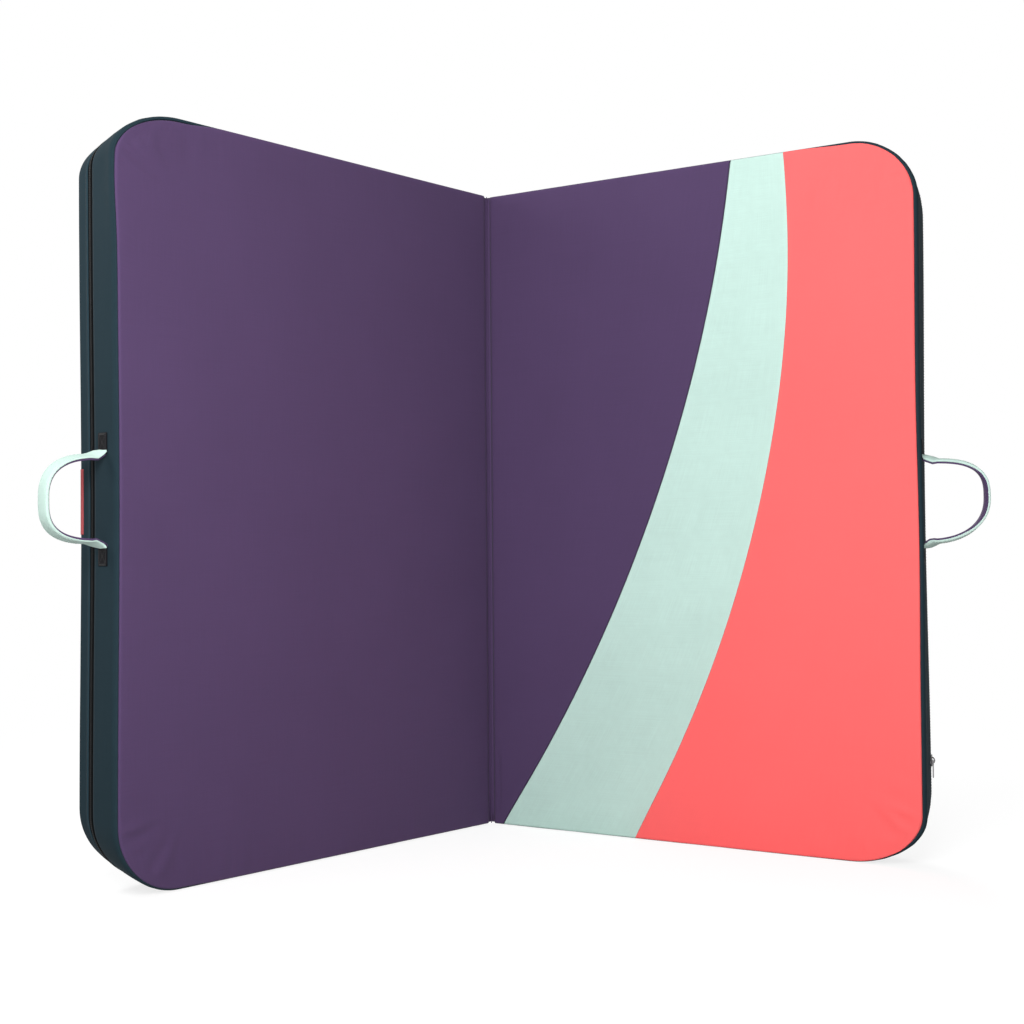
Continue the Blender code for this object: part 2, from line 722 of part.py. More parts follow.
def socket_buckle(name, seat):
    """The socket half: a rounded sleeve with a mouth, two side windows and a bar for its webbing."""
    half_width, half_thick = BUCKLE_WIDTH / 2, SOCKET_THICKNESS / 2
    body = mesh_object(
        name,
        block((0, -half_thick, -half_width), (SOCKET_LENGTH, half_thick, half_width), BUCKLE_ROUNDING),
        BUCKLE_BLACK,
        seat,
        PARTS,
    )
    mouth_start = SOCKET_LENGTH - SOCKET_MOUTH_DEPTH
    window_end = SOCKET_LENGTH - SOCKET_WINDOW_SETBACK
    half_mouth = SOCKET_MOUTH_HEIGHT / 2
    over_width, over_thick = half_width + CUT_OVERRUN, half_thick + CUT_OVERRUN
    slot_width = CLOSURE_WEB_WIDTH / 2 + CLEARANCE
    cuts = {
        "mouth": (
            (mouth_start, -half_mouth, -SOCKET_MOUTH_WIDTH / 2),
            (SOCKET_LENGTH + CUT_OVERRUN, half_mouth, SOCKET_MOUTH_WIDTH / 2),
        ),
        "windows": (
            (window_end - SOCKET_WINDOW_LENGTH, -half_mouth, -over_width),
            (window_end, half_mouth, over_width),
        ),
        "web_slot": (
            (BUCKLE_BAR, -over_thick, -slot_width),
            (BUCKLE_BAR + BUCKLE_SLOT, over_thick, slot_width),
        ),
        "bar_front": (
            (-CUT_OVERRUN, -over_thick, -over_width),
            (BUCKLE_BAR + BUCKLE_SLOT, -PLUG_THICKNESS / 2, over_width),
        ),
        "bar_back": (
            (-CUT_OVERRUN, PLUG_THICKNESS / 2, -over_width),
            (BUCKLE_BAR + BUCKLE_SLOT, over_thick, over_width),
        ),
    }
    for word, (low, high) in cuts.items():
        cutter = mesh_object(f"{name}_{word}", block(low, high), None, seat, HELPERS)
        combine(body, cutter, "DIFFERENCE")


def closures(half, side, word):
    """The closing straps: sockets on the left half's edge, and long plug straps on the right's."""
    sewn_level = ground_lift(WEB)
    edge = HALF_WIDTH - CLOSURE_EDGE_MARGIN
    wrap = wrap_radius(BUCKLE_BAR, PLUG_THICKNESS)
    for share, place_word in zip(CLOSURE_HEIGHT_SHARES, ("lower", "upper")):
        height = PAD_HEIGHT * share
        if side == LEFT:
            bar = edge - SOCKET_LENGTH + BUCKLE_BAR / 2
            level = ground_lift(SOCKET_THICKNESS)
            place = (side * (bar - BUCKLE_BAR / 2), level, height)
            seat = frame(f"{place_word}_socket_seat", half, place, (0, HALF_TURN, 0))
            socket_buckle(f"{place_word}_closure_socket", seat)
            turn = arc((bar, level), wrap, -QUARTER_TURN, QUARTER_TURN, TURN_STEPS)
            start, ramp = bar - CLOSURE_SEWN_LENGTH, bar - SOCKET_LENGTH / 2
            back = [(ramp, sewn_level + WEB + CLEARANCE), (start + SOCKET_LENGTH / 2, sewn_level + WEB + CLEARANCE)]
            line = [(start, sewn_level), (ramp, sewn_level), *turn, *back]
            name = f"{place_word}_socket_strap"
        else:
            bar = edge - CLOSURE_TAIL_LENGTH
            level = sewn_level + wrap
            top = sewn_level + 2 * CLOSURE_TURN
            fold = arc((edge, sewn_level + CLOSURE_TURN), CLOSURE_TURN, -QUARTER_TURN, QUARTER_TURN, TURN_STEPS)
            turn = arc((bar, level), wrap, QUARTER_TURN, 1.5 * HALF_TURN, TURN_STEPS)
            tail = (bar + 2 * BUCKLE_SLOT, sewn_level)
            line = [(edge - CLOSURE_SEWN_LENGTH, sewn_level), *fold, (bar + SOCKET_LENGTH, top), *turn, tail]
            place = (side * (bar + BUCKLE_BAR / 2), level, height)
            seat = frame(f"{place_word}_plug_seat", half, place, (0, HALF_TURN, 0))
            slot = slot_outline(BUCKLE_BAR, BUCKLE_SLOT, CLOSURE_WEB_WIDTH + 2 * CLEARANCE)
            slab(f"{place_word}_closure_plug", BUCKLE_BLACK, seat, plug_outline(), 0, PLUG_THICKNESS, [slot])
            name = f"{place_word}_plug_strap"
        ribbon(name, BLACK_WEB, half, [(side * reach, lift, height) for reach, lift in line], CLOSURE_WEB_WIDTH, True)


# The shoulder harness


def strap_line(share):
    """Half the distance between the two shoulder straps, a share of the way down them."""
    bow = math.sin(HALF_TURN * share)
    spread = STRAP_TOP_SPREAD + (STRAP_LOW_SPREAD - STRAP_TOP_SPREAD) * share
    return spread + (STRAP_LOW_SPREAD - STRAP_TOP_SPREAD) * bow / 2


def harness(half, side):
    """Two padded shoulder straps under a top patch, with web tails, ladder locks and foot patches."""
    centre = HALF_WIDTH * HARNESS_REACH_SHARE
    strap_level = PAD_THICKNESS + CLEARANCE
    patch_low = HARNESS_TOP
    over = strap_level + STRAP_PADDING + CLEARANCE
    half_patch = HARNESS_PATCH_WIDTH / 2
    edge_lift = PAD_THICKNESS + CLEARANCE

    strap_top = patch_low + HARNESS_PATCH_HEIGHT / 2
    strap_edge = strap_line(0.1) + STRAP_WIDTH / 2 + PATCH_EASE
    strap_side = STRAP_TOP_SPREAD - STRAP_WIDTH / 2 - CLEARANCE
    spans = [(0, edge_lift), (strap_side, over), (strap_edge, over), (half_patch, edge_lift)]
    spans = [(-reach, level) for reach, level in reversed(spans[1:])] + spans
    heights = (patch_low, strap_top + CLEARANCE, strap_top + STRAP_PADDING, patch_low + HARNESS_PATCH_HEIGHT)

    def patch_place(column, row):
        reach, level = spans[column]
        return side * (centre + reach), level if row < 2 else edge_lift, heights[row]

    last_row = len(heights) - 1
    sheet("harness_top_patch", TEAL_CLOTH, half, -side, len(spans) - 1, last_row, patch_place, CLOTH, True)

    for hand, place_word in ((-1, "inner"), (1, "outer")):

        def place(column, row, hand=hand):
            share = row / STRAP_ROWS
            taper = max(share - 0.75, 0) / 0.25
            half_strap = (STRAP_WIDTH + (STRAP_END_WIDTH - STRAP_WIDTH) * taper) / 2
            reach = centre + hand * strap_line(share) + half_strap * (column - 1)
            return side * reach, strap_level, strap_top - STRAP_LENGTH * share

        strap = sheet(f"{place_word}_shoulder_strap", STRAP_CLOTH, half, side, 2, STRAP_ROWS, place, STRAP_PADDING, True)
        rounding = strap.modifiers.new("edges", "BEVEL")
        rounding.width = STRAP_EDGE_ROUNDING
        rounding.segments = 2
        rounding.angle_limit = math.radians(60)

        foot_reach = centre + hand * strap_line(1)
        strap_end = strap_top - STRAP_LENGTH
        lock_level = ground_lift(STRAP_PADDING)
        lock_top = strap_end - LADDER_SLOT
        seat = frame(f"{place_word}_lock_seat", half, (side * foot_reach, lock_level, lock_top), (0, -QUARTER_TURN, 0))
        half_lock, chamfer = LADDER_WIDTH / 2, LADDER_BAR / 2
        plate = [
            (0, half_lock - chamfer),
            (-chamfer, half_lock),
            (-LADDER_LENGTH + chamfer, half_lock),
            (-LADDER_LENGTH, half_lock - chamfer),
        ]
        plate += [(x, -z) for x, z in reversed(plate)]
        slot_width = HARNESS_WEB_WIDTH + 2 * CLEARANCE
        slots = [
            slot_outline(-LADDER_BAR - LADDER_SLOT, LADDER_SLOT, slot_width),
            slot_outline(-2 * LADDER_BAR - 2 * LADDER_SLOT, LADDER_SLOT, slot_width),
        ]
        slab(f"{place_word}_ladder_lock", BUCKLE_BLACK, seat, plate, 0, LADDER_THICKNESS, slots)

        wrap = wrap_radius(LADDER_BAR, LADDER_THICKNESS)
        top_bar = lock_top - LADDER_BAR / 2
        over_bar = arc((top_bar, lock_level), wrap, -QUARTER_TURN, -QUARTER_TURN - HALF_TURN, TURN_STEPS)
        hanger = [(strap_end - CLEARANCE, lock_level - wrap), *over_bar, (strap_end - CLEARANCE, lock_level + wrap)]
        points = [(side * foot_reach, level, height) for height, level in hanger]
        ribbon(f"{place_word}_lock_loop", BLACK_WEB, half, points, HARNESS_WEB_WIDTH, False)

        middle_bar = lock_top - 1.5 * LADDER_BAR - LADDER_SLOT
        round_bar = arc((middle_bar, lock_level), wrap, -QUARTER_TURN, QUARTER_TURN, TURN_STEPS)
        foot_level = ground_lift(WEB)
        tail = [(HARNESS_FOOT, foot_level), (lock_top - LADDER_LENGTH - LADDER_SLOT, foot_level)]
        tail += [(lock_top - LADDER_LENGTH + LADDER_BAR, lock_level - wrap), *round_bar]
        tail += [(lock_top - LADDER_LENGTH - LADDER_BAR, lock_level + wrap)]
        tail += [(lock_top - HARNESS_TAIL, foot_level + 2 * WEB), (lock_top - HARNESS_TAIL - LADDER_LENGTH, foot_level + 2 * WEB)]
        points = [(side * foot_reach, level, height) for height, level in tail]
        ribbon(f"{place_word}_lock_web", BLACK_WEB, half, points, HARNESS_WEB_WIDTH, False)


# The whole pad


def fold_position():
    """How far the fold stands behind the middle of the opened pad's footprint."""
    half_opening = REST_OPENING / 2
    back = PAD_THICKNESS * math.sin(half_opening) - FOLD_GAP * math.cos(half_opening)
    handle_end = side_reach(PAD_HEIGHT / 2) + HANDLE_PIVOT_RISE + HANDLE_REACH + HANDLE_SLEEVE
    handle_edge = HANDLE_LEVEL - HANDLE_WIDTH / 2
    front = handle_end * math.cos(half_opening) - handle_edge * math.sin(half_opening)
    return (front - back) / 2


def build():
    """Makes both halves about the fold and everything that they carry."""
    fold = frame("fold_axis", None, (0, fold_position(), 0))
    swing = QUARTER_TURN - REST_OPENING / 2
    for side, word in ((LEFT, "left"), (RIGHT, "right")):
        half = frame(f"{word}_half", fold, (0, 0, 0), (0, 0, -side * swing))
        cover(half, side, word)
        foam(half, side, word)
        handle(half, side, word)
        closures(half, side, word)

        if side == LEFT:
            landing_panel("left_purple_panel", PURPLE_CLOTH, half, side, lambda z: FOLD_GAP, lambda z: HALF_WIDTH, PANEL_COLUMNS)
            edge_tab(half, side, word)
            harness(half, side)
            zip_slider(word, half, (side * LEFT_SLIDER_REACH, ZIP_LEVEL, PAD_HEIGHT), (0, -QUARTER_TURN, 0))
        else:
            gap = SEAM_GAP / 2
            purple = [lambda z: FOLD_GAP, lambda z: seam_curve(PURPLE_SEAM_SHARES, z) - gap]
            mint = [lambda z: seam_curve(PURPLE_SEAM_SHARES, z) + gap, lambda z: seam_curve(CORAL_SEAM_SHARES, z) - gap]
            coral = [lambda z: seam_curve(CORAL_SEAM_SHARES, z) + gap, lambda z: HALF_WIDTH]
            landing_panel("right_purple_panel", PURPLE_CLOTH, half, side, *purple, BAND_COLUMNS)
            landing_panel("right_mint_panel", MINT_CLOTH, half, side, *mint, BAND_COLUMNS)
            landing_panel("right_coral_panel", CORAL_CLOTH, half, side, *coral, BAND_COLUMNS)
            wall = side_reach(RIGHT_SLIDER_HEIGHT) - wall_lean(side, ZIP_LEVEL)
            tilt = math.atan(wall_slope(side, ZIP_LEVEL))
            zip_slider(word, half, (side * wall, ZIP_LEVEL, RIGHT_SLIDER_HEIGHT), (0, 0, tilt))

    welt = bmesh.new()
    upright = Matrix.Translation((0, 0, PAD_HEIGHT / 2))
    bmesh.ops.create_cone(
        welt,
        cap_ends=True,
        segments=12,
        radius1=WELT_RADIUS,
        radius2=WELT_RADIUS,
        depth=PAD_HEIGHT - 2 * SHOULDER_DEPTH,
        matrix=upright,
    )
    mesh_object("fold_welt", welt, PURPLE_CLOTH, fold, PARTS)


for old in list(bpy.data.objects):
    bpy.data.objects.remove(old)

PARTS = bpy.data.collections.new("crash_pad")
HELPERS = bpy.data.collections.new("cutters")
for group in (PARTS, HELPERS):
    bpy.context.scene.collection.children.link(group)

PURPLE_CLOTH = finish("purple_polyester", 86, 67, 101, 0.8)
MINT_CLOTH = finish("mint_polyester", 200, 229, 220, 0.8)
CORAL_CLOTH = finish("coral_polyester", 254, 112, 112, 0.8)
TEAL_CLOTH = finish("dark_teal_polyester", 52, 68, 75, 0.85)
GROUND_CLOTH = finish("coated_ground_cloth", 40, 46, 50, 0.6)
ZIP_BLACK = finish("zip_black", 22, 22, 23, 0.6)
BLACK_WEB = finish("black_webbing", 34, 34, 37, 0.8)
STRAP_CLOTH = finish("strap_cloth", 40, 44, 48, 0.85)
BUCKLE_BLACK = finish("buckle_black", 24, 24, 26, 0.4)
METAL = finish("slider_metal", 48, 44, 50, 0.4, 0.8)
FIRM_FOAM = finish("closed_cell_foam", 70, 74, 78, 0.9)
SOFT_FOAM = finish("open_cell_foam", 214, 206, 176, 0.95)

build()
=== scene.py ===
import json
import math

import bmesh
import bpy
import numpy as np
from mathutils import Matrix, Vector, noise


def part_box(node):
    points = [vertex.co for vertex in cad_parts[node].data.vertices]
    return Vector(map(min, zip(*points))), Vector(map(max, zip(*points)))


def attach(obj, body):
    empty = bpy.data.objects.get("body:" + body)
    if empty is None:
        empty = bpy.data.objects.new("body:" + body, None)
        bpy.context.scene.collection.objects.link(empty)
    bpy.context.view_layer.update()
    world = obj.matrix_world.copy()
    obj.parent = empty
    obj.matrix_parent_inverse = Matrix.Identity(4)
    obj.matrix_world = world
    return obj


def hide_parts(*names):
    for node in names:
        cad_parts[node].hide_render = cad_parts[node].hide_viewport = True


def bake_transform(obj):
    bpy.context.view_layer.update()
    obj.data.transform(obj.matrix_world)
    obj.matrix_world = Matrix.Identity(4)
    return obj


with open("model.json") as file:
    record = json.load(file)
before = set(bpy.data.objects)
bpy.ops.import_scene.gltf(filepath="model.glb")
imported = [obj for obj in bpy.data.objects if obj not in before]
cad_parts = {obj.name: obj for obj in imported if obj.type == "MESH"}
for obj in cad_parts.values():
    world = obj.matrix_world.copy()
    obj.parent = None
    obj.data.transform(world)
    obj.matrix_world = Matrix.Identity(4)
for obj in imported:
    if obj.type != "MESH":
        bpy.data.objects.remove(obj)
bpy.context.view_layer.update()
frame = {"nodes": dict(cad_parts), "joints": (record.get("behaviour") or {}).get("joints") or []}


# The foam. Each half holds a closed-cell sheet under the landing face, a thick open-cell core
# and a thinner closed-cell sheet at the ground. They are cut to one outline, stacked and glued,
# and the zipped cover holds them, so they are seen only when it is open.

LEFT, RIGHT = -1, 1
WORDS = {LEFT: "left", RIGHT: "right"}
JOINTS = {joint["name"]: joint for joint in frame["joints"]}
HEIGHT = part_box("left_fold_wall")[1].z
WIDTH = 0.688
THICKNESS = 0.085
CORNER = 0.098
FOLD_GAP = 0.0015
DRAW_IN = 0.003
CROWN = 0.004
RIGHT_LEAN = 0.0125
EXTRA_LEAN = 0.003
EXTRA_LEAN_START = 0.058

fold_line = Vector(JOINTS["fold"]["pos_m"])
left_outward = Vector(JOINTS["left_zip_travel"]["axis"])
swing = math.atan2(-left_outward.y, -left_outward.x)
HALF = {
    side: Matrix.Translation((fold_line.x, fold_line.y, 0)) @ Matrix.Rotation(-side * swing, 4, "Z")
    for side in WORDS
}


class Signal:
    """A value or colour in a material. Arithmetic on it adds the material's Math nodes."""

    def __init__(self, tree, socket=None):
        self.tree = tree
        self.socket = socket

    def node(self, kind, settings=None, sockets=None, output=0):
        """Adds a node of one type: its settings first, then the values and links of its sockets."""
        made = self.tree.nodes.new("ShaderNode" + kind)
        for name, value in (settings or {}).items():
            setattr(made, name, value)
        for name, value in (sockets or {}).items():
            if isinstance(value, Signal):
                self.tree.links.new(value.socket, made.inputs[name])
            else:
                made.inputs[name].default_value = value
        return Signal(self.tree, None if output is None else made.outputs[output])

    def maths(self, operation, *values):
        return self.node("Math", {"operation": operation}, dict(enumerate(values)))

    def __add__(self, other):
        return self.maths("ADD", self, other)

    def __sub__(self, other):
        return self.maths("SUBTRACT", self, other)

    def __rsub__(self, other):
        return self.maths("SUBTRACT", other, self)

    def __mul__(self, other):
        return self.maths("MULTIPLY", self, other)

    def __truediv__(self, other):
        return self.maths("DIVIDE", self, other)

    def __pow__(self, other):
        return self.maths("POWER", self, other)

    def __abs__(self):
        return self.maths("ABSOLUTE", self)

    __radd__ = __add__
    __rmul__ = __mul__

    def sine(self):
        return self.maths("SINE", self)

    def clamped(self):
        return self.node("Clamp", {}, {"Value": self})

    def place(self):
        """Where a point of the piece is, in metres."""
        return self.node("TexCoord", output="Object")

    def cloth(self):
        """Where a point is on its sheet of cloth, in metres across and along it."""
        return self.node("UVMap", {"uv_map": "weave"})

    def hem(self):
        """How close a point is to a sewn edge."""
        return self.node("Attribute", {"attribute_name": "hem"}, output="Fac")

    def axis(self, letter):
        return self.node("SeparateXYZ", {}, {0: self}, output=letter)

    def grain(self, scale, detail, **more):
        """Soft noise over a place."""
        return self.node("TexNoise", {}, {"Vector": self, "Scale": scale, "Detail": detail, **more})

    def relief(self, strength, distance, **under):
        """The Normal of a height, laid over another Normal where one is given."""
        return self.node("Bump", {}, {"Height": self, "Strength": strength, "Distance": distance, **under})


def tint(colour, other, share):
    """A colour that goes over into another by a share."""
    settings = {"data_type": "RGBA"}
    return share.node("Mix", settings, {0: share, 6: colour, 7: other}, output=2)


def rgb(*levels):
    """An 8-bit sRGB colour as the linear colour that a socket takes."""
    shares = [level / 255 for level in levels]
    linear = [c / 12.92 if c <= 0.04045 else ((c + 0.055) / 1.055) ** 2.4 for c in shares]
    return (*linear, 1)


def lighter(colour, share):
    """The same colour with more or less light in it."""
    return (*(min(channel * share, 1) for channel in colour[:3]), 1)


def toned(colour, dark, pale, share):
    """One colour that goes over from a darker to a paler tone of itself by a share."""
    return tint(lighter(colour, dark), lighter(colour, pale), share)


def new_finish(name, roughness, specular, **uniform):
    """A material with its shader's even values set, and a signal to build the rest from."""
    made = bpy.data.materials.new(name)
    made.use_nodes = True
    shader = made.node_tree.nodes["Principled BSDF"]
    shader.inputs["Roughness"].default_value = roughness
    shader.inputs["Specular IOR Level"].default_value = specular
    for socket, value in uniform.items():
        shader.inputs[socket.replace("_", " ")].default_value = value
    return made, shader, Signal(made.node_tree)


def connect(shader, **signals):
    """Links signals to the shader's sockets."""
    for socket, signal in signals.items():
        signal.tree.links.new(signal.socket, shader.inputs[socket.replace("_", " ")])


def foam_finish(name, colour, cell):
    """Cut foam: open pores of one size, and soft patches where it has aged."""
    made, shader, start = new_finish(name, 0.95, 0.2)
    place = start.place()
    pores = start.node("TexVoronoi", {}, {"Vector": place, "Scale": 1 / cell}, output="Distance")
    ageing = place.grain(9.0, 3.0)
    colour_now = toned(colour, 0.82, 1.08, pores * 0.9 + ageing * 0.5)
    connect(shader, Base_Color=colour_now, Normal=pores.relief(0.5, cell / 2))
    return made


def gentle(share):
    """A share from 0 to 1 that starts and ends without a kink."""
    share = min(max(share, 0), 1)
    return share * share * (3 - 2 * share)


def bell(away, width):
    """1 at no distance, and next to nothing at two widths to either side."""
    return np.exp(-((away / width) ** 2))


def wall_reach(height):
    """How far the outer side wall stands from the fold: it draws in between its corners."""
    along = min(max((height - CORNER) / (HEIGHT - 2 * CORNER), 0), 1)
    return WIDTH - DRAW_IN * math.sin(math.pi * along) ** 2


def wall_lean(side, level):
    """How far a level of the outer wall stands in. The right half's wall leans in to the ground."""
    if side == LEFT:
        return 0
    even = RIGHT_LEAN * (max(level, 0) / THICKNESS) ** 2
    return even + EXTRA_LEAN * gentle((level - EXTRA_LEAN_START) / (THICKNESS - EXTRA_LEAN_START))


def crown(reach, height):
    """How far the landing face swells, from nothing at the fold and at the free edges."""
    across = min(max(reach / WIDTH, 0), 1)
    up = abs(2 * height / HEIGHT - 1)
    return CROWN * 4 * across * (1 - across) * max(1 - up**4, 0)


def rounded(reach, height, inset, end_inset):
    """Moves a point of a square-cornered sheet so that its two outer corners come out round.

    The sheet's outer side is set in by inset, and its upper and lower ends by end_inset.
    """
    wide, tall = CORNER - inset, CORNER - end_inset
    flat_end, low, high = WIDTH - CORNER, CORNER, HEIGHT - CORNER
    across = (reach - flat_end) / wide
    up = (height - high) / tall if height > high else min((height - low) / tall, 0)
    if across > 0 and up:
        reach = flat_end + wide * across * math.sqrt(1 - up * up / 2)
        height = (high if up > 0 else low) + tall * up * math.sqrt(1 - across * across / 2)
    return reach * wall_reach(height) / WIDTH, height


CORNER_SHAPES = {
    (LEFT, 1): ((0.101, 0.0565), (0.1365, 0.0835), 0.0087, 0.0036, 1.0),
    (LEFT, -1): ((0.097, 0.0905), (0.1235, 0.1085), 0.0125, 0.0022, 0.3),
    (RIGHT, 1): ((0.091, 0.086), (0.115, 0.112), 0.0060, 0.0012, 0.6),
    (RIGHT, -1): ((0.103, 0.064), (0.135, 0.103), 0.0120, 0.0026, 0.1),
}
CORNER_SPREADS = (0.8, 1.6, 2.5)
RIM_SWELLS = {LEFT: (0, 0.0045, 0.88, 0.05), RIGHT: (0.0034, 0.0060, 0.45, 0.17)}
RIM_DEPTH = 0.014
RIM_WIDTH = 0.06
BAND_FADE = 0.07


def settled(side, places, deeper=0.0):
    """Moves points (reach, level, height) from the cut outline to that of the used cover.

    CORNER_SHAPES gives for each outer corner how wide and tall its round is at the landing side
    and at the ground side, how far its end leans in to the ground, how far the landing rim has
    swelled past the end, and how much of the side band shows there. CORNER_SPREADS gives how many
    corners' lengths past the corner its width, its height and its lean die out. RIM_SWELLS gives
    how far a side's rim has swelled all along it, how much more at one height, which, and how
    widely.
    """
    moved = np.array(places, float)
    reach, level, height = moved[..., 0].copy(), moved[..., 1] + deeper, moved[..., 2].copy()
    share = np.clip(level / THICKNESS, 0, 1)
    at_rim = bell(level, RIM_DEPTH)
    across = (reach - WIDTH) / CORNER + 1
    for end in (-1, 1):
        front, ground, lean, swell, _ = CORNER_SHAPES[side, end]
        wide, tall = (a + (b - a) * share for a, b in zip(front, ground))
        from_end = HEIGHT - height if end > 0 else height
        up = 1 - from_end / CORNER
        turn = np.arctan2(np.maximum(across, 0), np.maximum(up, 0))
        weight = np.minimum(np.hypot(np.maximum(across, 0), np.maximum(up, 0)), 1) ** 2
        along_end, along_side, leaning = (
            np.clip(1 + np.minimum(place, 0) / spread, 0, 1)
            for place, spread in zip((across, up, across), CORNER_SPREADS)
        )
        moved[..., 0] -= (wide - CORNER) * (1 - np.sin(turn)) * weight * along_end
        inward = (tall - CORNER) * (1 - np.cos(turn)) * along_side
        inward += lean * share**2 * np.cos(turn) * leaning**2
        swelled = swell * at_rim * np.maximum(1 - from_end / RIM_WIDTH, 0) ** 2
        moved[..., 2] -= end * (inward * weight - swelled)
    even, more, middle, spread = RIM_SWELLS[side]
    swell = even + more * bell(height - middle, spread)
    moved[..., 0] += swell * at_rim * np.maximum(1 - (WIDTH - reach) / RIM_WIDTH, 0) ** 2
    return moved


def band_shown(side, reach, height):
    """How much of the side band's rim shows at an end: most at the corner, none at the fold."""
    shown = CORNER_SHAPES[side, 1 if height > HEIGHT / 2 else -1][4]
    return shown * gentle(1 - (WIDTH - CORNER - reach) / BAND_FADE)


def lines(low, high, step, hem=(0,)):
    """Places between two edges about a step apart, with the hem's closer ones beside each edge."""
    first, last = low + hem[-1], high - hem[-1]
    count = max(1, round((last - first) / step))
    middle = [first + (last - first) * k / count for k in range(count + 1)]
    return [low + h for h in hem[:-1]] + middle + [high - h for h in reversed(hem[:-1])]


def in_scene(name, data):
    """A new object in the scene for a mesh, a lamp or a camera."""
    made = bpy.data.objects.new(name, data)
    bpy.context.scene.collection.objects.link(made)
    return made


def new_piece(name, side, points, faces, finish):
    """A smooth piece of one half from points and faces in the half's own frame."""
    mesh = bpy.data.meshes.new(name)
    mesh.from_pydata(points, [], faces)
    mesh.materials.append(finish)
    mesh.shade_smooth()
    made = in_scene(name, mesh)
    made.matrix_world = HALF[side]
    return made


def lay(name, side, rows, finish, thickness=0, rise=-1, flip=False, bevel=0, deeper=0.0, on_cover=True):
    """A sheet through rows of points (reach, level, height) of one half.

    Its "weave" map is in metres of cloth. A point may have a fourth number, which says how close
    it is to a sewn edge, and goes to the mesh as "hem". The thickness goes inward from the points
    with a rise of -1, both ways with 0 and outward with 1.
    """
    grid = np.array(rows, float)
    hem = grid[..., 3] if grid.shape[2] > 3 else np.zeros(grid.shape[:2])
    points = settled(side, grid[..., :3], deeper) if on_cover else grid[..., :3].copy()
    along = np.r_[0, np.linalg.norm(np.diff(points, axis=0), axis=2).mean(1).cumsum()]
    across = np.r_[0, np.linalg.norm(np.diff(points, axis=1), axis=2).mean(0).cumsum()]
    points[..., 0] *= side
    tall, wide = points.shape[:2]
    faces = []
    for row in range(tall - 1):
        for column in range(wide - 1):
            a = row * wide + column
            face = (a, a + 1, a + wide + 1, a + wide)
            faces.append(face[::-1] if (side == LEFT) != flip else face)
    made = new_piece(name, side, points.reshape(-1, 3).tolist(), faces, finish)
    mesh = made.data
    corners = np.empty(len(mesh.loops), int)
    mesh.loops.foreach_get("vertex_index", corners)
    cloth = np.stack([across[corners % wide], along[corners // wide]], 1)
    mesh.uv_layers.new(name="weave").uv.foreach_set("vector", cloth.astype(np.float32).ravel())
    mesh.attributes.new("hem", "FLOAT", "POINT").data.foreach_set("value", hem.astype(np.float32).ravel())
    if thickness:
        cloth_body = made.modifiers.new("thickness", "SOLIDIFY")
        cloth_body.thickness = thickness
        cloth_body.offset = rise
    if bevel:
        edges = made.modifiers.new("edges", "BEVEL")
        edges.width = bevel
        edges.segments = 3
        edges.limit_method = "ANGLE"
        edges.angle_limit = math.radians(60)
    return made


def belongs(piece, body, slot, *nodes):
    """Makes a piece move with a body and hides the solids that it stands for. The slot is not used."""
    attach(piece, body)
    if nodes:
        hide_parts(*nodes)
    return piece


closed_cell = foam_finish("closed_cell_foam_cut", rgb(70, 74, 78), 0.0011)
open_cell = foam_finish("open_cell_foam_cut", rgb(214, 206, 176), 0.0024)
FOAM_LAYERS = (
    ("landing_foam", 0.0022, 0.0133, 0.0072, 0.0038, closed_cell, "firm_foam", True),
    ("core_foam", 0.0158, 0.0574, 0.0026, 0.0026, open_cell, "soft_foam", False),
    ("base_foam", 0.0735, 0.010, 0.0075, 0.0075, closed_cell, "firm_foam", False),
)
for side, word in WORDS.items():
    for part, start, depth, inset, end_inset, finish, slot, crowned in FOAM_LAYERS:
        side_inset = inset if crowned else inset + wall_lean(side, start + depth)
        rows = []
        for height in lines(end_inset, HEIGHT - end_inset, 0.02):
            row = []
            for reach in lines(0.003, WIDTH - side_inset, 0.02):
                at, up = rounded(reach, height, side_inset, end_inset)
                row.append((at, start - crown(at, up) * crowned, up))
            rows.append(row)
        foam = lay(f"{word}_{part}_sheet", side, rows, finish, depth, bevel=0.0015, deeper=depth)
        belongs(foam, f"{word}_half", slot, f"{word}_{part}")


# The landing faces. Heavy woven polyester is cut to shape, and on the right half a purple, a
# mint and a coral panel are joined by curved seams. The panels are sewn to the side band and
# pulled taut over the foam, so they swell a little and pucker at the corners and the fold's foot.

CLOTH = 0.0012
SIDE_SEAM = 0.0056
END_SEAM = 0.0012
END_ROLL = 0.0032
FOLD_SEAM = (0.0050, 0.0060)
COLOUR_SEAM = (0.0024, 0.0030)
EDGE_SEAM = (0.0026, 0.0032)
MINT_SEAM = (0.0010, 0.0012)
SLIGHT_SEAM = (0.0002, 0.0008)
HEM = (0, 0.0007, 0.0016, 0.0028, 0.0045, 0.0075)
PURPLE = rgb(73, 55, 89)
MINT = rgb(184, 212, 203)
CORAL = rgb(255, 102, 102)
PURPLE_CURVE = (0.029, 0.371, 0.556, 0.609)
CORAL_CURVE = (0.366, 0.655, 0.772, 0.726)
PUCKER = (0.00010, 0.00075, 0.00030)
PUCKER_DEPTH = 0.0008
PUCKER_PLACES = [(WIDTH - 0.3 * CORNER, height) for height in (0.3 * CORNER, HEIGHT - 0.3 * CORNER)]


def crossed_threads(cloth, thread):
    """Threads of one width that pass over and under each other, from -1 to 1."""
    across, along = ((cloth.axis(letter) * (math.pi / thread)).sine() for letter in "XY")
    return across * along


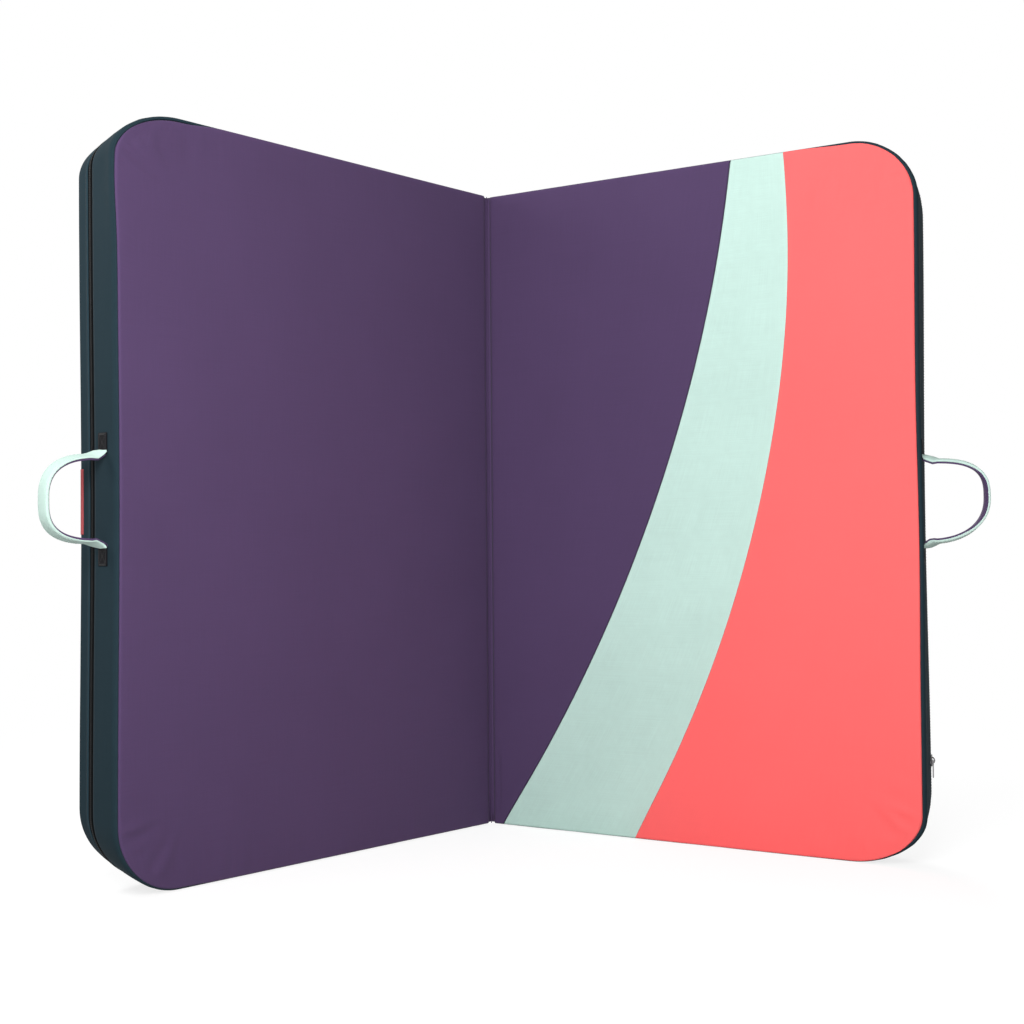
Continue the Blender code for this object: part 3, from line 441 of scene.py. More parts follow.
def woven_finish(
    name, colour, thread=0.00085, roughness=0.82, relief=0.5, mottle=1.0, wear_and_highlight=1.25, sheen=0.06,
    gloss=0.2, spread=0.14,
):
    """Plain-woven cloth: crossing threads, uneven yarn, soft mottling, and hems painted paler for wear and as
    a painted highlight.
    """
    made, shader, start = new_finish(name, roughness, gloss, Sheen_Weight=sheen, Sheen_Roughness=0.5)
    place, cloth = start.place(), start.cloth()
    crossing = crossed_threads(cloth, thread)
    warp, weft = (
        start.node("Mapping", {}, {"Vector": cloth, "Scale": scale}).grain(1.0, 1.0)
        for scale in ((1 / thread, 14.0, 1.0), (14.0, 1 / thread, 1.0))
    )
    clouds, creases, specks = (place.grain(*sizes) for sizes in ((7.0, 3.0), (24.0, 4.0), (90.0, 2.0)))
    uneven = (warp + weft - 1) * 0.9 + (clouds - 0.5) * mottle + (specks - 0.5) * 0.5 + crossing * 0.22
    body = toned(colour, 1 - spread, 1 + spread, uneven * 0.5 + 0.5)
    # Hems go paler: partly wear, and partly a painted highlight where an edge or shoulder catches the light.
    worn_and_highlit = tint(body, lighter(colour, wear_and_highlight), start.hem() * (specks + 0.35))
    threads = (crossing * 0.5 + (warp + weft) * 0.6).relief(relief, 0.00016)
    soft = creases.relief(0.12, 0.0022, Normal=threads)
    rough = roughness + (specks - 0.5) * 0.12 + crossing * 0.03
    connect(shader, Base_Color=worn_and_highlit, Roughness=rough, Normal=soft)
    return made


def seam_reach(shares, height):
    """The reach of a curved seam at a height: a cubic Bezier in shares of the half's width."""
    t = height / HEIGHT
    blend = ((1 - t) ** 3, 3 * t * (1 - t) ** 2, 3 * t**2 * (1 - t), t**3)
    return WIDTH * sum(a * b for a, b in zip(shares, blend))


def edge_run(reach, height):
    """(distance from the nearest free edge, place along the free edges) on a landing face."""
    flat_end, low, high = WIDTH - CORNER, CORNER, HEIGHT - CORNER
    radius = CORNER - SIDE_SEAM
    if reach > flat_end and not low < height < high:
        middle = low if height <= low else high
        out, up = reach - flat_end, height - middle
        turn = math.atan2(out, abs(up))
        bend = radius * turn
        run = flat_end + bend if middle == low else flat_end + math.pi * radius + (high - low) - bend
        return CORNER - END_SEAM + (END_SEAM - SIDE_SEAM) * math.sin(turn) ** 2 - math.hypot(out, up), run
    beside = WIDTH - SIDE_SEAM - reach
    below, above = height - END_SEAM, HEIGHT - END_SEAM - height
    nearest = min(beside, below, above)
    if nearest == below:
        return below, reach
    if nearest == above:
        return above, 2 * flat_end + math.pi * radius + (high - low) - reach
    return beside, flat_end + math.pi / 2 * radius + height - low


def pucker(side, reach, height):
    """Where a taut face puckers: along its sewn edges, most at the corners and the fold's foot."""
    away, run = edge_run(reach, height)
    corner = bell(min(math.dist((reach, height), place) for place in PUCKER_PLACES), 0.085)
    everywhere, at_corners, at_foot = PUCKER
    strength = everywhere + at_corners * corner + at_foot * math.exp(-height / 0.05)
    wave = noise.noise(Vector((run / 0.011, 0.3 * away / 0.02, 3.1 * side)))
    long_wave = noise.noise(Vector((run / 0.024, away / 0.08, 7.7 * side)))
    rise = max(away, 0) / 0.014
    folds = wave * rise * math.exp(1 - rise) + 1.3 * long_wave * rise / 2 * math.exp(1 - rise / 2.2)
    folds *= strength
    if side == LEFT:
        # Creases slant up from the fold's foot.
        slant, cross = reach * 0.62 + height * 0.78, reach * 0.78 - height * 0.62
        streak = noise.noise(Vector((cross / 0.010, slant / 0.06, 1.4)))
        folds += 0.0013 * bell(reach, 0.045) * bell(height - 0.02, 0.05) * (0.4 + streak)
    else:
        # One crease stands beside the fold's foot, and others hang from the coral panel's top.
        folds += 0.0009 * bell(reach - 0.012, 0.006) * bell(height - 0.05, 0.06)
        hung = HEIGHT - height
        streak = noise.noise(Vector(((reach + 0.25 * hung) / 0.012, hung / 0.12, 4.4)))
        fade = bell(reach - 0.585, 0.07) * bell(hung, 0.11) * (1 - math.exp(-hung / 0.008))
        folds += 0.0017 * fade * streak
    return folds


def slack(side):
    """Simulates one landing cover, pinned at its seams and pressed out by the foam.

    It gives the cloth's own folds as a table over the square sheet, without its broad swell.
    """
    reaches = lines(FOLD_GAP, WIDTH - SIDE_SEAM, 0.0085)
    heights = lines(END_SEAM, HEIGHT - END_SEAM, 0.0085)
    shape = (len(heights), len(reaches))
    rows = []
    for height in heights:
        row = []
        for reach in reaches:
            at, up = rounded(reach, height, SIDE_SEAM, END_SEAM)
            row.append((at, -crown(at, up) + 2.5 * pucker(side, reach, height), up))
        rows.append(row)
    cover = lay(f"{WORDS[side]}_cover_blank", side, rows, bpy.data.materials[0])
    pinned = cover.vertex_groups.new(name="sewn")
    eased = cover.vertex_groups.new(name="eased")
    for row, height in enumerate(heights):
        for column, reach in enumerate(reaches):
            at = row * shape[1] + column
            if row in (0, shape[0] - 1) or column in (0, shape[1] - 1):
                pinned.add([at], 1, "REPLACE")
            away, _ = edge_run(reach, height)
            eased.add([at], math.exp(-max(min(away, reach), 0) / 0.03), "REPLACE")
    cloth = cover.modifiers.new("cloth", "CLOTH")
    settings = cloth.settings
    settings.quality = 6
    settings.mass = 0.25
    settings.tension_stiffness = settings.compression_stiffness = 40
    settings.shear_stiffness = 10
    settings.bending_stiffness = 0.15
    settings.vertex_group_mass = "sewn"
    settings.vertex_group_shrink = "eased"
    settings.shrink_min = 0.0
    settings.shrink_max = -0.018
    settings.use_pressure = True
    settings.uniform_pressure_force = 0.6
    settings.effector_weights.gravity = 0
    cloth.collision_settings.use_collision = False
    for moment in range(1, 21):
        bpy.context.scene.frame_set(moment)
    seen = cover.evaluated_get(bpy.context.evaluated_depsgraph_get())
    moved = np.array([vertex.co.y for vertex in seen.data.vertices]).reshape(shape)
    bpy.context.scene.frame_set(1)
    bpy.data.objects.remove(cover)
    broad = moved.copy()
    for _ in range(30):
        held = np.pad(broad, 1, mode="edge")
        broad = (held[:-2, 1:-1] + held[2:, 1:-1] + held[1:-1, :-2] + held[1:-1, 2:] + 2 * broad) / 6
    return np.clip(moved - broad, -0.0011, 0.0011), reaches, heights


def table_value(table, reach, height):
    """Reads a table between its lines."""
    values, reaches, heights = table
    column, row = (
        np.clip((at - places[0]) / (places[-1] - places[0]) * (len(places) - 1), 0, len(places) - 1.001)
        for at, places in ((reach, reaches), (height, heights))
    )
    c, r = int(column), int(row)
    x, y = column - c, row - r
    low = values[r, c] * (1 - x) + values[r, c + 1] * x
    high = values[r + 1, c] * (1 - x) + values[r + 1, c + 1] * x
    return float(low * (1 - y) + high * y)


def turned_in(away, depth, run):
    """How far a sewn edge has gone down into its seam, a distance away from it."""
    return depth * max(1 - away / run, 0) ** 2


def landing_face(name, side, near, far, finish, folds, columns, seams):
    """One panel of a landing face between two edges, each a function of height.

    seams gives (depth, run) of the groove at its inner and its outer edge, how proud the cloth
    stands beside the inner one, and whether the outer one is painted paler, for wear and as a painted
    highlight.
    """
    inner_seam, outer_seam, lip, outer_worn_and_highlit = seams
    rows = []
    for height in lines(END_SEAM, HEIGHT - END_SEAM, 0.006, HEM):
        start, end = near(height), far(height)
        from_end = min(height - END_SEAM, HEIGHT - END_SEAM - height)
        roll = END_ROLL - math.sqrt(END_ROLL**2 - max(END_ROLL - from_end, 0) ** 2)
        row = []
        for reach in lines(start, end, (end - start - 2 * HEM[-1]) / columns, HEM):
            at, up = rounded(reach, height, SIDE_SEAM, END_SEAM)
            cornering = max((reach - WIDTH + CORNER) / (CORNER - SIDE_SEAM), 0) ** 2
            shown = band_shown(side, reach, height)
            drop = (SIDE_SEAM - END_SEAM) * shown * (1 - 0.3 * cornering) * max(1 - from_end / 0.05, 0) ** 2
            up += drop if height < HEIGHT / 2 else -drop
            shown += (1 - shown) * cornering / 2
            level = min(pucker(side, reach, height) + table_value(folds, reach, height), PUCKER_DEPTH)
            level += roll * (1 - shown) + turned_in(from_end, *EDGE_SEAM) * shown - crown(at, up)
            level += turned_in(reach - start, *inner_seam) + turned_in(end - reach, *outer_seam)
            level -= lip * bell(reach - start - 0.0022, 0.0012)
            # The edges painted paler, for wear and as a painted highlight: the inner edge, the ends and,
            # where set, the outer edge.
            away = min(reach - start, end - reach if outer_worn_and_highlit else 1, from_end)
            row.append((at, level, up, math.exp(-max(away - 0.0012, 0) / 0.0016)))
        rows.append(row)
    return lay(name, side, rows, finish, CLOTH)


def fold_edge(height):
    """A panel's edge at the fold."""
    return FOLD_GAP


def outer_edge(height):
    """A panel's edge at the outer side seam."""
    return WIDTH - SIDE_SEAM


def beside(curve, gap):
    """A panel's edge beside a curved seam, as a function of height."""
    return lambda height: seam_reach(curve, height) + gap


purple_cloth = woven_finish("purple_woven_polyester", PURPLE)
mint_cloth = woven_finish("mint_woven_polyester", MINT, wear_and_highlight=1.06)
coral_cloth = woven_finish("coral_woven_polyester", CORAL, wear_and_highlight=1.1, spread=0.06)
# The last flag of each seams entry says whether the panel's outer edge is painted paler, as wear and a
# painted highlight.
PANELS = (
    (LEFT, "purple", purple_cloth, 112, fold_edge, outer_edge, (FOLD_SEAM, EDGE_SEAM, 0, True)),
    (
        RIGHT, "purple", purple_cloth, 60, fold_edge, beside(PURPLE_CURVE, -0.0009),
        (FOLD_SEAM, COLOUR_SEAM, 0, False),
    ),
    (
        RIGHT, "mint", mint_cloth, 34, beside(PURPLE_CURVE, 0.0002), beside(CORAL_CURVE, -0.0001),
        (MINT_SEAM, SLIGHT_SEAM, 0.0007, True),
    ),
    (
        RIGHT, "coral", coral_cloth, 64, beside(CORAL_CURVE, 0.0001), outer_edge,
        (SLIGHT_SEAM, EDGE_SEAM, 0.0003, True),
    ),
)
cloth_folds = {side: slack(side) for side in WORDS}
for side, colour, finish, columns, near, far, seams in PANELS:
    word = WORDS[side]
    face = landing_face(f"{word}_{colour}_face", side, near, far, finish, cloth_folds[side], columns, seams)
    belongs(face, f"{word}_half", f"{colour}_cloth", f"{word}_{colour}_panel")
    heights = [HEIGHT * k / 40 for k in range(41)]
    widths = [far(z) - near(z) for z in heights]
    widest = max(far(z) for z in heights) - min(near(z) for z in heights)
    area = sum(widths) / len(widths) * HEIGHT


# The side bands. Two strips of dark teal polyester run round the three free sides of each half,
# one from the landing face to the zip and one from the zip to the ground panel. Their long edges
# are turned in and topstitched beside the zip, and eased round the corners, where they pucker.

TEAL = rgb(31, 46, 53)
INNER_EDGE = 0.003
# The teal's hems are painted much paler: partly wear, and partly a painted highlight on the band's rounded
# shoulder beside the landing face.
teal_cloth = woven_finish("dark_teal_woven_polyester", TEAL, wear_and_highlight=1.6, mottle=1.3, sheen=0.01, gloss=0.05)


def rim(step):
    """Stations round the free sides, as (reach, height, outward reach, outward height, run)."""
    flat_end = WIDTH - CORNER
    flat, bend = flat_end - INNER_EDGE, math.pi / 2 * CORNER
    total = 2 * (flat + bend) + HEIGHT - 2 * CORNER
    stations = []
    for run in lines(0, total, step):
        from_end = min(run, total - run)
        if from_end <= flat:
            reach, height, out, down = INNER_EDGE + from_end, 0, 0, 1
        elif from_end <= flat + bend:
            turn = (from_end - flat) / CORNER
            out, down = math.sin(turn), math.cos(turn)
            reach, height = flat_end + CORNER * out, CORNER - CORNER * down
        else:
            height = CORNER + from_end - flat - bend
            reach, out, down = wall_reach(height), 1, 0
        if run > total / 2:
            stations.append((reach, HEIGHT - height, out, down, run))
        else:
            stations.append((reach, height, out, -down, run))
    return stations


def band(name, side, profile, finish, step=0.005, thickness=CLOTH, ease=0.0, end_profile=None):
    """A strip round the free sides. Its profile is a list of (depth in the wall, level, hem).

    Where less of the rim shows beside the landing face, the profile goes over into end_profile.
    The cloth is eased in and out of the profile by ease, most at the corners.
    """
    rows = []
    for reach, height, out, up, run in rim(step):
        cornering = 4 * out * out * up * up
        shown = out * out + (1 - out * out) * band_shown(side, reach, height)
        row = []
        for at_side, at_end in zip(profile, end_profile or profile):
            depth, level, hem = (a * shown + b * (1 - shown) for a, b in zip(at_side, at_end))
            wave = noise.noise(Vector((run / 0.008, level / 0.05, 5.5 * side)))
            slow = noise.noise(Vector((run / 0.07, level / 0.03, 2.5 * side)))
            waving = (0.15 + cornering) * wave * bell(level - 0.009, 0.009)
            depth += ease * (waving + 0.7 * max(slow, 0) * (hem < 0.5))
            inward = depth + wall_lean(side, level)
            row.append((reach - out * inward, level, height - up * depth, hem))
        rows.append(row)
    return lay(name, side, rows, finish, thickness)


def bulged(proud, start, end):
    """The middle of a band's profile between two levels, standing proud by a little."""
    return [(-proud * math.sin(math.pi * k / 6), start + (end - start) * k / 6, 0) for k in range(1, 7)]


quarter = [(math.sin(turn), math.cos(turn)) for turn in (math.pi / 14 * k for k in range(8))]
front_turn = [(0, 0.0480, 0.7), (0.0002, 0.0492, 1), (0.0007, 0.0499, 0.6), (0.0015, 0.0500, 0)]
# On the rounded shoulder beside the landing face the hem numbers fall away from the seam, painting a
# highlight where the shoulder catches the light.
front_profile = [
    (0.0057, 0.0030, 0.2), (0.0052, 0.0016, 0.6), (0.0048, 0.0007, 1),
    *[(0.005 * (1 - sine), 0.010 * (1 - cosine), 0.3 * cosine) for sine, cosine in quarter[1:]],
    *bulged(0.0004, 0.010, 0.046),
    *front_turn,
]
front_end_profile = [
    (0.0040, 0.0062, 0.2), (0.0032, 0.0052, 0.6), (0.0024, 0.0045, 1),
    *[(0.0020 * (1 - sine), 0.0080 - 0.0040 * cosine, 0.3) for sine, cosine in quarter[1:]],
    *bulged(0.0003, 0.008, 0.046),
    *front_turn,
]
ground_profile = [
    (0.0015, 0.0610, 0), (0.0007, 0.0611, 0.6), (0.0002, 0.0618, 1), (0, 0.0630, 0.7),
    (0, 0.0660, 0), (-0.0003, 0.0720, 0), (0, 0.0785, 0),
    *[(0.006 * (1 - cosine), 0.079 + 0.006 * sine, 0.3 * sine) for sine, cosine in quarter[1:7]],
    (0.0058, 0.0849, 1), (0.0063, 0.0840, 0.6), (0.0065, 0.0825, 0),
]
RIM_LENGTH = rim(0.005)[-1][4]
SIDE_BANDS = (
    ("front", front_profile, front_end_profile, 0.0004, 0.062),
    ("ground", ground_profile, ground_profile, 0.0003, 0.035),
)
for side, word in WORDS.items():
    for place_word, profile, at_end, ease, cut_width in SIDE_BANDS:
        name = f"{word}_{place_word}_side_strip"
        strip = band(name, side, profile, teal_cloth, ease=ease, end_profile=at_end)
        belongs(strip, f"{word}_half", "teal_cloth", f"{word}_{place_word}_side_band")


# The zips. A black nylon coil zip runs round the three free sides of each half, so that the foam
# can be taken out. Each of its two woven tapes carries a row of coil loops that hook into the
# other row, and the tapes are sewn under the turned edges of the side bands.

zip_tape = woven_finish(
    "zip_tape_weave", rgb(14, 14, 16), thread=0.0006, roughness=0.85, wear_and_highlight=1.3, sheen=0, gloss=0.1
)
nylon, shader, start = new_finish("zip_coil_nylon", 0.5, 0.15)
grain = start.place().grain(220.0, 2.0)
nylon_colour = tint(rgb(5, 6, 7), rgb(17, 19, 21), grain)
connect(shader, Base_Color=nylon_colour, Roughness=0.42 + grain * 0.2, Normal=grain.relief(0.3, 0.0001))
ZIP_LEVEL = 0.0555
ZIP_TAPES = (("front", 0.0462, 0.0551), ("ground", 0.0648, 0.0559))
TAPE = 0.0007
TOOTH_PITCH = 0.00135
TOOTH_PATH = ((-0.0025, 0.0014), (-0.0023, 0.0008), (0.0007, 0.0007), (0.0011, 0.0013))
TOOTH_HALF_WIDTH = 0.00046
TOOTH_HALF_THICK = 0.0003
CORNER_BULGE = 0.001


def tube_faces(first, rings, sides, flipped):
    """The faces of a tube with closed ends, whose rings of points start at a number."""
    last = first + (rings - 1) * sides
    faces = []
    for ring in range(first, last, sides):
        for k in range(sides):
            a, b = ring + k, ring + (k + 1) % sides
            faces.append((a, b, b + sides, a + sides))
    faces += [tuple(range(first + sides - 1, first - 1, -1)), tuple(range(last, last + sides))]
    return [face[::-1] for face in faces] if flipped else faces


def zip_coil(name, side):
    """Two rows of coil loops round the free sides, each loop hooked between two of the other row.

    The coil stands out a little more in the middle of each corner.
    """
    points, faces = [], []
    for number, (reach, height, out, up, run) in enumerate(rim(TOOTH_PITCH)):
        hand = 1 if number % 2 else -1
        faces += tube_faces(len(points), len(TOOTH_PATH), 4, hand * side == 1)
        for across, depth in TOOTH_PATH:
            for along, lift in ((-1, -1), (1, -1), (1, 1), (-1, 1)):
                deep = depth - lift * TOOTH_HALF_THICK - CORNER_BULGE * 4 * out * out * up * up
                slip, level = along * TOOTH_HALF_WIDTH, ZIP_LEVEL + hand * across
                x = reach - out * (deep + wall_lean(side, level)) - up * slip
                points.append((x, level, height - up * deep + out * slip))
    points = settled(side, points) * (side, 1, 1)
    return new_piece(name, side, points.tolist(), faces, nylon)


for side, word in WORDS.items():
    for place_word, outer, inner in ZIP_TAPES:
        steps = sorted((0.0016 + 0.0003 * k / 4, outer + (inner - outer) * k / 4, 0) for k in range(5))
        nodes = [f"{word}_coil_zip"] if place_word == "front" else []
        steps = steps if nodes else steps[::-1]
        cloth_tape = band(f"{word}_{place_word}_zip_tape", side, steps, zip_tape, 0.01, TAPE)
        belongs(cloth_tape, f"{word}_half", "zip_black", *nodes)
    belongs(zip_coil(f"{word}_zip_coil", side), f"{word}_half", "zip_black")


# The fold. Each half's inner wall is a plain strip of the dark teal cloth. A hinge strip of purple
# cloth joins the two halves along the fold, sewn to both inner walls behind the landing faces, and
# a narrow rolled welt lies in front of it in the crease.

WALL_LEVELS = (0.0058, THICKNESS - 0.0016)
WALL_HEM = (0, 0.001, 0.003)
HINGE_LEVEL = 0.0062
HINGE_EDGE = 0.0012
WELT_RADIUS = 0.0007
WELT_LEVEL = 0.0042
for side, word in WORDS.items():
    rows = []
    for height in lines(0.0004, HEIGHT - 0.0004, 0.012, WALL_HEM):
        end = turned_in(min(height, HEIGHT - height), 0.0015, 0.003)
        row = []
        for level in lines(*WALL_LEVELS, 0.008, WALL_HEM):
            edge = min(level - WALL_LEVELS[0], WALL_LEVELS[1] - level)
            wave = noise.noise(Vector((height / 0.09, level / 0.03, side)))
            sunk = 0.0006 * (1 + wave) * min(edge / 0.02, 1)
            row.append((FOLD_GAP + end + turned_in(edge, 0.001, 0.003) + sunk, level, height, 0))
        rows.append(row[::-1])
    wall = lay(f"{word}_fold_wall_cloth", side, rows, teal_cloth, CLOTH)
    belongs(wall, f"{word}_half", "teal_cloth", f"{word}_fold_wall")

hinge_sides = [
    [HALF[side] @ Vector((side * HINGE_EDGE, level, 0)) for level in (0.009, 0.007, 0.005)] for side in WORDS
]
hinge_route = hinge_sides[0] + [
    Vector((fold_line.x + across, fold_line.y + HINGE_LEVEL, 0)) for across in (-HINGE_EDGE, 0, HINGE_EDGE)
]
hinge_route += hinge_sides[1][::-1]
hinge_rows = [[(spot.x, spot.y, height) for spot in hinge_route] for height in lines(0.0004, HEIGHT, 0.02)]
hinge = lay("fold_hinge_strip", RIGHT, hinge_rows, purple_cloth, 0.0008)
hinge.matrix_world = Matrix.Identity(4)
hinge_span = [spots[1] * 0.9 + fold_line * 0.1 for spots in hinge_sides]
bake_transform(hinge)

welt_rows = []
welt_turns = [math.tau * k / 12 for k in range(13)]
for height in lines(0.001, HEIGHT, 0.01):
    wander = 0.0002 * noise.noise(Vector((height / 0.03, 0, 0)))
    ring = [(WELT_RADIUS * math.cos(t) + wander, WELT_LEVEL + WELT_RADIUS * math.sin(t)) for t in welt_turns]
    welt_rows.append([(reach, level, height) for reach, level in ring])
welt = lay("fold_welt_strip", RIGHT, welt_rows, purple_cloth)
welt.matrix_world = Matrix.Translation((fold_line.x, fold_line.y, 0))
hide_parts("fold_welt")
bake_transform(welt)


# The ground panels. Coated ripstop cloth closes the ground side of each half: it is woven with a
# square grid of heavier threads and sealed with a thin matt coating, and it stays flat.

GROUND = rgb(37, 43, 47)
GROUND_EDGE = 0.0066
RIPSTOP_SQUARE = 0.006
RIPSTOP_THREAD = 0.0006
ground_cloth, shader, start = new_finish("coated_ripstop", 0.5, 0.4, Coat_Roughness=0.45)
cloth = start.cloth()
heavy_threads = [abs((cloth.axis(letter) * (math.pi / RIPSTOP_SQUARE)).sine()) ** 24 for letter in "XY"]
ripstop = start.maths("MAXIMUM", *heavy_threads)
dust = start.place().grain(6.0, 5.0, Roughness=0.65)
connect(
    shader,
    Base_Color=toned(GROUND, 0.85, 1.35, dust * 0.8 + ripstop * 0.35 - 0.1),
    Roughness=0.42 + dust * 0.25,
    Coat_Weight=0.1 + ripstop * 0.1,
    Normal=(ripstop + crossed_threads(cloth, RIPSTOP_THREAD) * 0.25 + dust).relief(0.5, 0.0002),
)
for side, word in WORDS.items():
    rows = []
    reach_end = WIDTH - GROUND_EDGE - wall_lean(side, THICKNESS)
    height_end = HEIGHT - GROUND_EDGE
    for reach in lines(FOLD_GAP, reach_end, 0.02, HEM):
        row = []
        for height in lines(GROUND_EDGE, height_end, 0.02, HEM):
            at, up = rounded(reach, height, WIDTH - reach_end, GROUND_EDGE)
            away = min(reach - FOLD_GAP, reach_end - reach, height - GROUND_EDGE, height_end - height)
            row.append((at, THICKNESS - turned_in(away, 0.002, 0.0032), up, math.exp(-away / 0.003)))
        rows.append(row)
    panel = lay(f"{word}_ground_cloth", side, rows, ground_cloth, CLOTH)
    belongs(panel, f"{word}_half", "ground_cloth", f"{word}_ground_panel")


# The handles. A loop of thick purple webbing stands out of each outer side wall, with a mint cloth
# sleeve sewn over its outside. Its ends are pinched, twisted and turned outward where they are
# sewn down, and a black web anchor, box-stitched to the wall, covers each end.

HANDLE_RISE = 0.0043
HANDLE_REACH = 0.080
HANDLE_LEVEL = 0.0288
HANDLE_WIDTH = 0.020
ROOT_WIDTH = 0.008
ROOT_TIP = 0.0032
FLARE = 0.018
END_TURN = 0.0062
END_TURN_RUN = 0.021
TIP_PINCH = 0.7
TIP_SHIFT = 0.0045
TWIST_RUN = 0.006
RUFFLE = 0.0004
RUN_TILT = {(LEFT, 1): 0.23, (LEFT, -1): 0.12, (RIGHT, 1): 0.12, (RIGHT, -1): 0.08}
PLUMP = {LEFT: 1.0, RIGHT: 1.6}
ROOT_SHIFT = 0.004
ROOT_TWIST = 0.85
HANDLE_HALVES = {
    LEFT: ((-1, 0.0518, 3.0), (1, 0.0558, 2.6)),
    RIGHT: ((-1, 0.0595, 2.3), (1, 0.0505, 3.0)),
}


def handle_line(side):
    """The handle's line as (reach from its pivot, height from its middle, outward direction).

    Its lower and its upper half are quarters of two superellipses, and both ends turn outward.
    """
    halves = []
    for up, span, power in HANDLE_HALVES[side]:
        spots = [(-ROOT_TIP * (1 - k / 3), span) for k in range(3)]
        for k in range(30):
            turn = math.pi / 2 * k / 30
            spots.append((HANDLE_REACH * math.sin(turn) ** (2 / power), span * math.cos(turn) ** (2 / power)))
        half = []
        for out, rise in spots:
            ease = max(1 - (out + ROOT_TIP) / END_TURN_RUN, 0)
            half.append((out, up * (rise + END_TURN * ease**1.7)))
        halves.append(half)
    spots = halves[0] + [(HANDLE_REACH, 0)] + halves[1][::-1]
    line = []
    for number, (out, up) in enumerate(spots):
        before, after = spots[max(number - 1, 0)], spots[min(number + 1, len(spots) - 1)]
        along = Vector((after[0] - before[0], after[1] - before[1])).normalized()
        line.append((out, up, (along.y, -along.x)))
    return line


def handle_pivot(side):
    """How far from the fold a handle's pivot is."""
    return wall_reach(HEIGHT / 2) - wall_lean(side, HANDLE_LEVEL) + HANDLE_RISE


def handle_layer(side, profile, tip_profile=None):
    """Rows of a handle's layer. Its profile is a list of (share across, lift outward, hem).

    The band leans so that its outside faces the landing side, and twists further at its roots.
    Towards the handle's tip the profile goes over into tip_profile.
    """
    spans = {up: span for up, span, _ in HANDLE_HALVES[side]}
    rows = []
    for out, up, away in handle_line(side):
        full = gentle(out / FLARE)
        half_width = (ROOT_WIDTH + (HANDLE_WIDTH - ROOT_WIDTH) * full) / 2
        shift = ROOT_SHIFT * (1 - full)
        if out < 0:
            half_width *= 1 - TIP_PINCH * (out / ROOT_TIP) ** 2
            shift += TIP_SHIFT * (out / ROOT_TIP) ** 2
        half_up = math.copysign(1, up)
        share_up = min(abs(up) / spans[half_up], 1)
        twist = ROOT_TWIST * (1 - full) * min(max(out + ROOT_TIP, 0) / TWIST_RUN, 1)
        tilt = half_up * share_up * (RUN_TILT[side, half_up] + twist)
        tipward = 1 - share_up**2
        row = []
        for at_run, at_tip in zip(profile, tip_profile or profile):
            share, lift, hem = (a * (1 - tipward) + b * tipward for a, b in zip(at_run, at_tip))
            across = share * half_width
            ruffle = RUFFLE * (1 - full) * noise.noise(Vector((out / 0.004, share * 2, up * 9)))
            raised = lift * PLUMP[side] + ruffle if lift > 0 else lift
            reach, height = out + away[0] * raised, up + across * tilt + away[1] * raised
            row.append((handle_pivot(side) + reach, HANDLE_LEVEL + across - shift, HEIGHT / 2 + height, hem))
        rows.append(row)
    return rows


SLEEVE_EDGE = ((1.0, 0.0000, 0.8), (1.02, 0.0007, 0.8), (0.98, 0.0014, 0.6), (0.90, 0.0018, 0.3))
SLEEVE_CROWN = ((0.6, 0.0021, 0), (0.2, 0.0023, 0))
WRAPPED_EDGE = ((0.97, -0.0026, 0.8), (1.02, -0.0012, 0.8), (1.01, 0.0006, 0.6), (0.90, 0.0018, 0.3))


def both_edges(*half):
    """A profile across a band from the points of one half of it, the edge first."""
    return [(-share, lift, hem) for share, lift, hem in half] + list(half[::-1])


sleeve_profile = both_edges(*SLEEVE_EDGE, *SLEEVE_CROWN)
wrapped_profile = both_edges(*WRAPPED_EDGE, *SLEEVE_CROWN)
lining_profile = [(share, 0.0002, 0.2) for share in (-0.96, -0.5, 0, 0.5, 0.96)]
LINING = 0.0030
sleeve_cloth = woven_finish("mint_sleeve_cloth", rgb(187, 212, 203), thread=0.0007, wear_and_highlight=1.08, sheen=0.12)
black_web, shader, start = new_finish("black_ribbed_webbing", 0.75, 0.08, Sheen_Weight=0.01)
cloth, fuzz = start.cloth(), start.place().grain(160.0, 3.0)
zigzag = abs((cloth.axis("X") * (math.pi / 0.005)).sine())
herringbone = (cloth.axis("Y") * (math.pi / 0.0011) + zigzag * 2.6).sine()
connect(
    shader,
    Base_Color=tint(rgb(9, 9, 11), rgb(25, 24, 28), fuzz * 0.6 + herringbone * 0.22 + start.hem() * 0.3),
    Roughness=0.62 + fuzz * 0.2,
    Normal=(herringbone + fuzz).relief(0.6, 0.00022),
)


def thread_finish(name, colour):
    """Twisted sewing thread: its plies show as slanted bands."""
    made, shader, start = new_finish(name, 0.6, 0.4, Sheen_Weight=0.1)
    slanted = {"bands_direction": "DIAGONAL"}
    plies = start.node("TexWave", slanted, {"Vector": start.place(), "Scale": 900.0}, output="Fac")
    connect(shader, Base_Color=toned(colour, 0.8, 1.15, plies), Normal=plies.relief(0.4, 0.0001))
    return made


def along_line(at, run, values):
    """A point or direction at a length along a line, between those that the line has."""
    return np.array([np.interp(at, run, values[:, axis]) for axis in range(3)])


